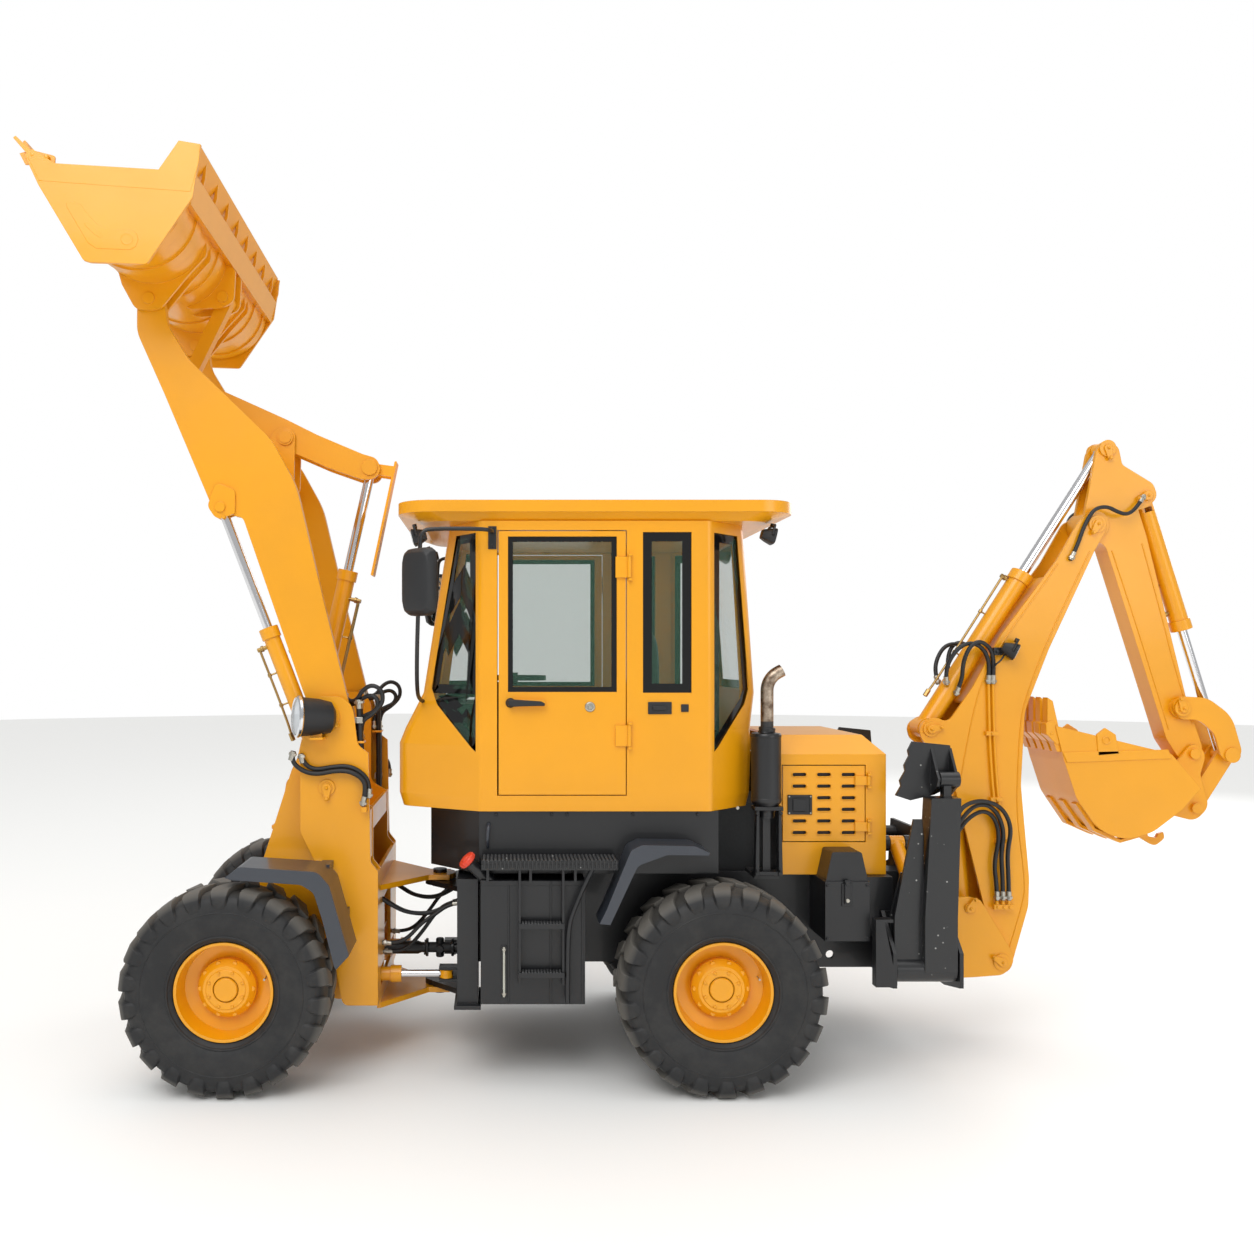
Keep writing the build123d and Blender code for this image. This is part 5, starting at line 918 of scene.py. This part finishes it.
# %% Roof lamps
def work_lamp(name, body, centre, facing, width, height, depth):
    """A square work lamp: a plastic shell with its rim, and a lens, on a U bracket."""
    turn = Vector(facing).to_track_quat("X", "Z").to_matrix().to_4x4()
    place = Matrix.Translation(centre) @ turn
    for part, material, bevel, sections in (
        ("shell", abs_plastic, 1.5, ((-depth, 0.55), (-depth * 0.6, 0.8), (-8, 1.0), (0, 1.04), (4, 1.0))),
        ("lens", lamp_lens, 0, ((2, 0.86), (7, 0.84), (9, 0.7))),
    ):
        mesh = bmesh.new()
        moulding(mesh, place, width, height, sections, 5, 24)
        piece(f"{name}_{part}", body, mesh, material, bevel)

    def arm(side, up):
        """A point of the bracket: left, right or middle, and a share of the height above the centre."""
        return place @ (Vector((-depth * 0.3, side * (width / 2 + 6), height * up)) * MM)

    mesh = bmesh.new()
    for side in (1, -1):
        bar(mesh, arm(side, 0), arm(side, 0.62), 7, 8)
    bar(mesh, arm(-1, 0.62), arm(1, 0.62), 7, 8)
    bar(mesh, arm(0, 0.55), arm(0, 0.8), 12, 12)
    piece(f"{name}_bracket", body, mesh, black_enamel, bevel=1)


for name, sign in SIDES:
    work_lamp(f"front_roof_lamp_{name}", "rear_unit", at(-462, sign * 590, 2876), (-1, 0, -0.25), 120, 88, 70)
    work_lamp(f"rear_roof_lamp_{name}", "rear_unit", at(1462, sign * 590, 2882), (1, 0, -0.25), 120, 84, 66)

# %% Headlamps on the towers
HEADLAMP = (("bowl", abs_plastic, [(0, -186), (52, -184), (84, -164), (98, -100), (104, -20), (108, 0),
    (110, 8), (104, 14), (98, 12)]), ("rim", lamp_chrome,
    [(96, 10), (110, 2), (114, 8), (112, 20), (102, 26), (96, 20)]),
    ("lens", lamp_lens, [(100, 18), (76, 30), (40, 37), (0, 40)]),
    ("mirror", lamp_chrome, [(97, 10), (70, -30), (30, -52), (10, -54), (10, -20), (0, -18)]))
for name, sign in SIDES:
    centre, facing = at(-1066, sign * 606, 1922), (-1, sign * 0.42, 0.05)
    for part, material, profile in HEADLAMP:
        mesh = bmesh.new()
        turned(mesh, centre, facing, profile, 44)
        piece(f"{name}_headlamp_{part}", "front_unit", mesh, material)
    mesh = bmesh.new()
    box(mesh, (-1010, -940), span(sign, 520, 640), (1800, 1812))
    box(mesh, (-1000, -950), span(sign, 590, 606), (1800, 1840))
    bolt(mesh, at(-975, sign * 560, 1812), (0, 0, 1), 17, 9)
    piece(f"{name}_headlamp_bracket", "front_unit", mesh, yellow_enamel, bevel=2)

# %% Mirrors and handrails
MIRROR_SHELL = ((0, 0.93), (-3, 1.0), (-12, 1.03), (-44.4, 0.98), (-65.12, 0.86), (-74, 0.62))
MIRROR_GLASS = ((0, 0.93), (-3, 1.0), (-12, 1.03), (-1.2, 0.98), (-1.76, 0.86), (-2, 0.62))
mirror_silver = metal("silvered_mirror", "#C9D2D8", 0.05, vary=0.05)
for name, sign in SIDES:
    place = Matrix.Translation(at(-392, sign * 862, 2622)) @ Matrix.Rotation(radians(-52 * sign), 4, "Z")
    mesh = bmesh.new()
    moulding(mesh, place, 205, 340, MIRROR_SHELL, 6, 32)
    piece(f"{name}_mirror_shell", "rear_unit", mesh, abs_plastic, bevel=4)
    mesh = bmesh.new()
    moulding(mesh, place @ Matrix.Translation(Vector((2.5, 0, 0)) * MM), 176, 308, MIRROR_GLASS, 6, 32)
    piece(f"{name}_mirror_glass", "rear_unit", mesh, mirror_silver)
    tube_run(f"{name}_handrail", "rear_unit", flip(sign, [
        [(-40, 712, 2895), (-40, 790, 2895), (-120, 812, 2900), (-330, 818, 2900), (-402, 822, 2890),
         (-412, 824, 2820), (-420, 818, 2500), (-432, 760, 2250), (-440, 640, 2060), (-436, 520, 2010),
         (-420, 478, 2000)],
    ]), 11, black_enamel)
    mesh = bmesh.new()
    box(mesh, (-62, -18), span(sign, 700, 712), (2805, 2925))
    for z in (2822, 2908):
        bolt(mesh, at(-40, sign * 712, z), (0, sign, 0), 15, 8)
    for x, y, z in ((-414, 822, 2700), (-418, 820, 2550)):
        bar(mesh, at(x, sign * y, z), at(-398, sign * 845, z), 12, 12)
    piece(f"{name}_mirror_mount", "rear_unit", mesh, black_enamel, bevel=2)
print("cab dressed outside")

# %% [markdown]
# ## Seat
# The driver's seat is foam under stitched vinyl. Each pad is a closed form that crowns in the middle and
# draws in at its corners, with two channels across. Its base is a steel box with a suspension bellows.

# %% Vinyl pads
def stitched_vinyl(name, code):
    """Calendered vinyl with a leather grain of about 3 mm."""
    material, tree, place = new_material(name)
    cells = add(tree, "TexVoronoi", [("Vector", place)], Scale=1000 / 6.0, feature="DISTANCE_TO_EDGE")
    sheen = add(tree, "TexNoise", [("Vector", place)], Scale=8.0, Detail=3.0)
    bump = add(tree, "Bump", [("Height", cells.outputs["Distance"])], Strength=0.35, Distance=0.0008)
    rough = add(tree, "MapRange", [("Value", sheen.outputs["Fac"])], To_Min=0.42, To_Max=0.62)
    links = [("Normal", bump.outputs["Normal"]), ("Roughness", rough.outputs["Result"])]
    return finish_material(material, links, Base_Color=linear(code), IOR=1.5)


seat_vinyl = stitched_vinyl("seat_vinyl", "#232427")


def pad(name, x, y, z, thin):
    """A crowned pad that fills a box; thin is its short axis, and channels cross the pad."""
    middle = [(a + b) / 2 for a, b in (x, y, z)]
    half = [(b - a) / 2 for a, b in (x, y, z)]
    wide = [i for i in range(3) if i != thin]
    mesh = bmesh.new()
    n = 28
    rows = {}
    for face in (1, -1):
        for i in range(n + 1):
            for j in range(n + 1):
                u, v = 2 * i / n - 1, 2 * j / n - 1
                rim = i in (0, n) or j in (0, n)
                if rim and face < 0:
                    rows[face, i, j] = rows[1, i, j]
                    continue
                swell = ((1 - abs(u) ** 3.2) * (1 - abs(v) ** 3.2)) ** 0.42 if not rim else 0.0
                groove = 1 - 0.10 * sum(max(0.0, 1 - abs(u - c) / 0.06) for c in (-0.45, 0.45))
                pinch = (1 - 0.05 * (1 - abs(u) ** 2) * (abs(v) > 0.99)
                         - 0.05 * (1 - abs(v) ** 2) * (abs(u) > 0.99))
                p = [0.0, 0.0, 0.0]
                for axis, share in zip(wide, (u, v)):
                    p[axis] = middle[axis] + half[axis] * share * pinch * 0.97
                p[thin] = middle[thin] + face * half[thin] * swell * groove * (1.0 if face > 0 else 0.9)
                rows[face, i, j] = mesh.verts.new(at(*p))
    for face in (1, -1):
        for i in range(n):
            for j in range(n):
                corners = [rows[face, i, j], rows[face, i + 1, j], rows[face, i + 1, j + 1],
                    rows[face, i, j + 1]]
                mesh.faces.new(corners)
    obj = piece(name, "rear_unit", mesh, seat_vinyl, sharp=80)
    obj.modifiers.new("smooth", "SUBSURF").levels = 1


pad("seat_cushion", (402, 850), (-238, 238), (1642, 1772), thin=2)
pad("seat_backrest", (805, 922), (-228, 228), (1775, 2390), thin=0)
mesh = bmesh.new()
box(mesh, (436, 826), (-224, 224), (1566, 1640))
for i in range(5):
    z = 1480 + i * 17
    grow = 10 if i % 2 else 0
    box(mesh, (556 - grow, 744 + grow), (-124 - grow, 124 + grow), (z, z + 17))
seat_base = piece("seat_base", "rear_unit", mesh, abs_plastic, bevel=6)
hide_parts("operator_seat")
print("seat padded")

# %% [markdown]
# ## Loader bucket
# The cheeks of a loader bucket are doubled along the rim and pressed with a shallow boss lower down.
# Gussets join the top guard to the beam on the back.

# %% Cheek plates, boss, bolts and gussets
RIM_PLATE = [(-2352, 4728), (-2205, 4697), (-1700, 4667), (-1600, 4811), (-1492, 4793), (-1500, 4700),
    (-1541, 4555), (-2296, 4610)]
BOSS = [(-2160, 4498), (-2138, 4508), (-2086, 4492), (-2052, 4440), (-2005, 4394), (-1950, 4370),
    (-1835, 4368), (-1810, 4350), (-1800, 4318), (-1812, 4284), (-1840, 4266), (-2010, 4272), (-2052, 4300),
    (-2158, 4480)]
SLOT = [(-2070, 4402), (-2054, 4408), (-2036, 4400), (-1984, 4340), (-1978, 4326), (-1990, 4324),
    (-2030, 4350), (-2064, 4386)]


mesh = bmesh.new()
mirrored_prisms(mesh, RIM_PLATE, 994, 1001)
mirrored_prisms(mesh, BOSS, 994, 1001.5)
for sign in (1, -1):
    out = (0, sign, 0)
    turned(mesh, at(-1858, sign * 1000, 4320), out, [(30, 0), (30, 2), (24, 2), (22, 1.6)], 40)
    for x in (-2330, -2260):
        turned(mesh, at(x, sign * 988, 4742 - (x + 2330) * 0.15), out,
            [(0, 14), (9, 13), (13, 8), (13, 0), (0, 0)], 20)
piece("bucket_cheeks", "loader_bucket", mesh, yellow_enamel, bevel=1.5)
mesh = bmesh.new()
mirrored_prisms(mesh, SLOT, 999, 1002)
piece("bucket_boss_slot", "loader_bucket", mesh, yellow_enamel, bevel=1)
GUSSET = [(-1596, 4600), (-1560, 4640), (-1538, 4700), (-1528, 4760), (-1512, 4780), (-1518, 4700),
    (-1536, 4640), (-1560, 4600)]
mesh = bmesh.new()
for y in (-800, -560, -320, -80, 160, 400, 640, 880):
    prism(mesh, GUSSET, y - 8, y + 8)
piece("bucket_gussets", "loader_bucket", mesh, yellow_enamel, bevel=2)
print("bucket dressed")

# %% [markdown]
# ## Backhoe bucket
# Cast teeth are pinned onto adapters at the digging edge, a doubled strip stiffens the mouth, and a lug
# for lifting stands on the cheek.

# %% Teeth, mouth strip and lug
mesh = bmesh.new()
TOOTH = [(3112, 1800), (3172, 1740), (3196, 1752), (3170, 1860), (3140, 1880), (3108, 1862)]
for y in (-170, -85, 0, 85, 170):
    prism(mesh, TOOTH, y - 34, y + 34)
    bar(mesh, at(3140, y - 38, 1806), at(3140, y + 38, 1806), 9, 12)
MOUTH_STRIP = [(3196, 1700), (3224, 1640), (3820, 1662), (3800, 1715)]
LIFTING_LUG = [(3400, 1680), (3392, 1800), (3440, 1838), (3500, 1800), (3520, 1690)]
for sign in (1, -1):
    prism(mesh, MOUTH_STRIP, *span(sign, 208, 216))
    prism(mesh, LIFTING_LUG, *span(sign, 200, 216))
    turned(mesh, at(3446, sign * 216, 1768), (0, sign, 0), [(24, 0), (24, 5), (15, 5), (15, 0)], 28)
piece("hoe_bucket_edge", "hoe_bucket", mesh, yellow_enamel, bevel=3)
mesh = bmesh.new()
WEAR_STRIP = [(3290, 1400), (3395, 1244), (3545, 1178), (3700, 1222), (3696, 1240), (3548, 1198),
              (3404, 1262), (3304, 1408)]
for y in (-150, 0, 150):
    prism(mesh, WEAR_STRIP, y - 30, y + 30)
piece("hoe_bucket_wear_strips", "hoe_bucket", mesh, yellow_enamel, bevel=2)
print("backhoe bucket dressed")

# %% [markdown]
# ## Steps, tank and boxes
# The tread by the door and the rungs of the ladder are pierced plate, so that a muddy boot doesn't slip.
# The fuel tank ahead of the rear wheel has its neck with a red cap and a sight gauge.

# %% Grip on treads and rungs
def grip(mesh, x, y, z, pitch=20.0, stud=7.0):
    """Rows of small raised studs on a level surface."""
    columns, rows = max(1, round((x[1] - x[0]) / pitch)), max(1, round((y[1] - y[0]) / pitch))
    for i in range(columns):
        for j in range(rows):
            cx, cy = x[0] + (i + 0.5) * (x[1] - x[0]) / columns, y[0] + (j + 0.5) * (y[1] - y[0]) / rows
            rings = [[mesh.verts.new(at(cx + half * a, cy + half * b, height))
                      for a, b in ((-1, -1), (1, -1), (1, 1), (-1, 1))]
                     for half, height in ((stud, z), (stud * 0.5, z + 5))]
            mesh.faces.new(rings[1])
            skin(mesh, rings)


mesh = bmesh.new()
for sign in (1, -1):
    grip(mesh, (-92, 600), span(sign, 690, 858), 1200)
    for z in (626, 876):
        grip(mesh, (110, 316), span(sign, 802, 860), z, 16, 5.5)
    # pierced front edge of the tread
    for i in range(34):
        x = -84 + i * 20.4
        box(mesh, (x, x + 11), span(sign, 858, 866), (1158, 1198))
    box(mesh, (-95, 604), span(sign, 848, 860), (1150, 1182))
piece("step_grip", "rear_unit", mesh, worn_black_enamel)

# %% Ladder rail, box fittings, gauge and filler
for name, sign in SIDES:
    route = [(482, 846, 1172), (430, 846, 1070), (372, 846, 930), (352, 846, 860), (346, 846, 700),
        (346, 846, 470)]
    tube_run(f"{name}_ladder_rail", "rear_unit", flip(sign, [route]), 13, black_enamel)
    mesh = bmesh.new()
    box(mesh, (258, 268), span(sign, 789, 799), (448, 1080))
    box(mesh, (-96, 436), span(sign, 789, 797), (1060, 1084))
    for x in (40, 420):
        box(mesh, (x, x + 10), span(sign, 789, 795), (448, 1060))
    for x, z in ((-20, 1412), (272, 1412), (352, 1412), (700, 1412), (1040, 1412)):
        bolt(mesh, at(x, sign * 685, z), (0, sign, 0), 14, 7)
    # catch and hasp on the battery box
    box(mesh, (1796, 1850), span(sign, 690, 697), (930, 1048))
    box(mesh, (1808, 1838), span(sign, 697, 709), (944, 1068))
    bar(mesh, at(1823, sign * 700, 1052), at(1823, sign * 716, 1052), 13, 16)
    for x in (1722, 1932):
        for z in (760, 1040):
            bolt(mesh, at(x, sign * 690, z), (0, sign, 0), 13, 6)
    piece(f"{name}_box_fittings", "rear_unit", mesh, black_enamel, bevel=2)
    mesh = bmesh.new()
    turned(mesh, at(1823, sign * 708, 962), (0, sign, 0), [(0, 6), (9, 5), (12, 0), (0, 0)], 20)
    piece(f"{name}_box_catch", "rear_unit", mesh, zinc_plate)

mesh = bmesh.new()
for z in (500, 730):
    turned(mesh, at(21, -790, z), (0, -1, 0), [(0, 16), (8, 16), (11, 13), (13, 6), (13, 0), (0, 0)], 24)
    bar(mesh, at(21, -800, z - 14), at(21, -800, z + 14), 9, 6)
piece("fuel_gauge_fittings", "rear_unit", mesh, zinc_plate, bevel=0.8)
mesh = bmesh.new()
bar(mesh, at(21, -801, 512), at(21, -801, 718), 6, 16)
piece("fuel_gauge_tube", "rear_unit", mesh, gauge_glass)
mesh = bmesh.new()
box(mesh, (6, 36), (-797, -790), (480, 750))
piece("fuel_gauge_back", "rear_unit", mesh, black_enamel, bevel=2)

neck_start, neck_end = at(-20, -735, 1040), at(-160, -775, 1178)
neck = neck_end - neck_start
long = neck.length / MM
mesh = bmesh.new()
turned(mesh, neck_start, neck, [(0, 0), (34, 0), (34, long - 6), (39, long - 4), (39, long), (0, long)])
piece("fuel_neck", "rear_unit", mesh, black_enamel, bevel=1.5)
mesh = bmesh.new()
turned(mesh, neck_end, neck, [(0, 0), (43, 0), (46, 4), (46, 22), (42, 28), (30, 31), (27, 28), (24, 34),
    (10, 37), (0, 37)], 40)
spin = neck.to_track_quat("Z", "Y").to_matrix()
for a in angles(16):
    foot = neck_end + spin @ Vector((45 * cos(a), 45 * sin(a), 4)) * MM
    bar(mesh, foot, foot + neck.normalized() * 20 * MM, 4, 8)
piece("fuel_cap", "rear_unit", mesh, cap_red, bevel=1)
tube_run("grab_hook", "rear_unit", [[(-64, -690, 1240), (-66, -722, 1262), (-64, -726, 1320),
    (-60, -722, 1352), (-58, -690, 1362)]], 9, blue_grey_enamel)
print("side gear done")

# %% [markdown]
# ## Engine hood
# The louvred doors are pressed sheet: every slot has a rolled lip. Behind them a black sheet is painted in
# as the shade inside the hood, so the slots look dark. A flush paddle latch holds each door.

# %% Louvre lips, painted shade backing and paddle latch
SLOT_PITCH_X, SLOT_PITCH_Z = 133, 63
# |Y|, length and height of each ring of a rolled lip
LIP = ((499, 88, 32), (504, 84, 28), (504, 76, 20), (493, 74, 18))
# x, |Y| and z of the latch's plate, of the four bars of its frame, and of its paddle
PADDLE_LATCH = (
    ((1560, 1692), 499, 505, (1386, 1492)), ((1560, 1692), 503, 509, (1386, 1400)),
    ((1560, 1692), 503, 509, (1478, 1492)), ((1560, 1574), 503, 509, (1386, 1492)),
    ((1678, 1692), 503, 509, (1386, 1492)), ((1588, 1660), 503, 512, (1404, 1470)),
)
for name, sign in SIDES:
    door = f"{name}_hood_door"
    mesh = bmesh.new()
    for row in range(6):
        for column in range(3):
            if column == 0 and row in (2, 3):
                continue  # the latch is here
            cx, cz = 1625 + column * SLOT_PITCH_X, 1287 + row * SLOT_PITCH_Z
            rings = []
            for y, width, height in LIP:
                ring = []
                for a in angles(20):
                    x = cx + (width - height) / 2 * (1 if cos(a) > 0 else -1) + height / 2 * cos(a)
                    ring.append(mesh.verts.new(at(x, sign * y, cz + height / 2 * sin(a))))
                rings.append(ring)
            skin(mesh, rings)
    piece(f"{name}_louvre_lips", door, mesh, yellow_enamel)
    mesh = bmesh.new()
    # painted shade: a black sheet behind the slots stands for the shade inside the hood
    box(mesh, (1542, 1973), span(sign, 474, 488), (1247, 1643))
    piece(f"{name}_hood_shade_backing", door, mesh, shade_backing_rubber, bevel=4)
    mesh = bmesh.new()
    for x, near, far, z in PADDLE_LATCH:
        box(mesh, x, span(sign, near, far), z)
    piece(f"{name}_paddle_latch", door, mesh, abs_plastic, bevel=2)
    mesh = bmesh.new()
    for x in (1568, 1684):
        for z in (1394, 1484):
            turned(mesh, at(x, sign * 509, z), (0, sign, 0), [(0, 3), (4, 2.5), (5, 0), (0, 0)], 14)
    piece(f"{name}_latch_screws", door, mesh, zinc_plate)

# %% Muffler shell, clamps and bracket
mesh = bmesh.new()
up = (0, 0, 1)
turned(mesh, at(1424, -585, 1470), up, [(40, -78), (44, -60), (52, -40), (78, -6), (80.5, 2), (80.5, 16),
    (79, 18), (79, 340), (80.5, 342), (80.5, 354), (76, 362), (44, 368), (38, 380), (38, 396), (34.6, 398)],
    48)
for x, z in ((1424, 1400), (1429, 1850)):
    turned(mesh, at(x, -585, z), up, [(36, -10), (44, -10), (44, 10), (36, 10)], 40)
piece("muffler_shell", "rear_unit", mesh, black_enamel)
mesh = bmesh.new()
for corners in ([(1352, 1080), (1374, 1080), (1374, 1440), (1360, 1440)],
                [(1476, 1080), (1498, 1080), (1490, 1440), (1476, 1440)]):
    prism(mesh, corners, -650, -600)
box(mesh, (1350, 1500), (-652, -560), (1426, 1446))
box(mesh, (1350, 1500), (-640, -560), (1080, 1100))
for bx in (1362, 1487):
    for bz in (1110, 1412):
        bolt(mesh, at(bx, -650, bz), (0, -1, 0), 15, 8)
piece("muffler_bracket", "rear_unit", mesh, black_enamel, bevel=3)
print("hood and exhaust dressed")

# %% Work lamp and stay on the boom
work_lamp("boom_lamp", "boom", at(2960, -150, 2268), (1, -0.35, -0.5), 128, 96, 76)
mesh = bmesh.new()
box(mesh, (2846, 2900), (-128, -104), (2252, 2296))
box(mesh, (2886, 2924), (-150, -120), (2262, 2274))
bolt(mesh, at(2866, -128, 2274), (0, -1, 0), 16, 8)
piece("boom_lamp_stay", "boom", mesh, black_enamel, bevel=2)
lead = [(2905, -142, 2262), (2880, -150, 2222), (2846, -138, 2196), (2840, -116, 2160)]
hoses("boom_lamp_lead", "boom", [lead], radius=5, fitting=False)

# %% Screws along the skirt
mesh = bmesh.new()
for sign in (1, -1):
    for x in range(-160, 1260, 118):
        bolt(mesh, at(x, sign * 657, 1442), (0, sign, 0), 13, 6)
piece("skirt_screws", "rear_unit", mesh, zinc_plate)
print("lamp and screws fitted")

# %% [markdown]
# ## Finish for every CAD piece
# Each node takes one finish. The table names the exceptions and everything else on this machine is yellow.

# %% Give each node its material
finishes = {
    black_enamel: ["rear_frame", "side_boxes", "front_axle", "stabilizer_frame"],
    worn_black_enamel: ["left_outrigger", "right_outrigger"],
    blue_grey_enamel: ["front_fenders", "rear_fenders"],
    stack_steel: ["exhaust_stack"],
    tinted_glass: ["cab_glass", "left_door_glass", "right_door_glass"],
    abs_plastic: ["operator_seat", "control_consoles"],
    cast_iron: ["drive_train"],
    tyre_rubber: [n for n in frame["nodes"] if n.endswith("_tyre")],
}
finish_of = {node: material for material, nodes in finishes.items() for node in nodes}
finish_of.update(rod_finish)
for name, obj in frame["nodes"].items():
    obj.data.materials.clear()
    obj.data.materials.append(finish_of.get(name, yellow_enamel))
print(len(frame["nodes"]), "nodes finished")

# %% [markdown]
# ## Studio
# A pale floor, a white room and soft boxes. The room is seen white but lights the machine at half of
# that, as the dark side of a real studio would, so that the soft boxes can model the shapes. A broad
# overhead light evens out the floor. The camera stands at the machine's left side, level with the
# engine hood, with a normal lens that is shifted to frame the raised bucket.

# %% Floor, lights and camera
floor_material = plastic("studio_floor", "#F4F4F2", roughness=0.6)
bpy.ops.mesh.primitive_circle_add(vertices=96, radius=40, fill_type="NGON",
    location=(0, 0, cad_low.z - 0.001))
floor = bpy.context.object
floor.name = "studio_floor"
floor.data.materials.append(floor_material)
floor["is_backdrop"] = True

world = bpy.data.worlds.new("studio")
bpy.context.scene.world = world
world.use_nodes = True
tree = world.node_tree
paths = add(tree, "LightPath")
strength = add(tree, "MapRange", [("Value", paths.outputs["Is Camera Ray"])], To_Min=0.52, To_Max=1.0)
background = tree.nodes["Background"]
background.inputs["Color"].default_value = (1, 1, 1, 1)
tree.links.new(strength.outputs["Result"], background.inputs["Strength"])


def soft_box(name, place, target, size, watts):
    """A rectangular area light that faces a target."""
    light = bpy.data.lights.new(name, "AREA")
    light.shape, light.size, light.size_y, light.energy = "RECTANGLE", size[0], size[1], watts
    obj = new_object(name, light)
    obj.location = place
    obj.rotation_euler = (Vector(target) - Vector(place)).to_track_quat("-Z", "Y").to_euler()


soft_box("key", (-4.5, -10.0, 11.0), (0.0, 0.0, 1.9), (9, 7), 900)
soft_box("fill", (9.0, -12.0, 5.0), (1.0, 0, 1.4), (7, 5), 270)
soft_box("back", (10.0, 10.0, 7.0), (0, 0, 1.5), (9, 6), 450)
overhead = bpy.data.lights.new("overhead", "SUN")
overhead.energy, overhead.angle = 1.3, radians(70)
new_object("overhead", overhead)

camera_data = bpy.data.cameras.new("camera")
camera_data.sensor_width = 36.0
camera_data.lens = 32.0
camera_data.shift_x, camera_data.shift_y = 0.1013, 0.0263
camera = new_object("camera", camera_data)
camera.location = (-0.9296, -6.55, 2.224)
camera.rotation_euler = (radians(90), 0, 0)
bpy.context.scene.camera = camera
bpy.context.scene.view_settings.view_transform = "Standard"
print("camera at", tuple(round(v, 3) for v in camera.location))

# %% Measure the scene's bounds
low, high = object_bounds()
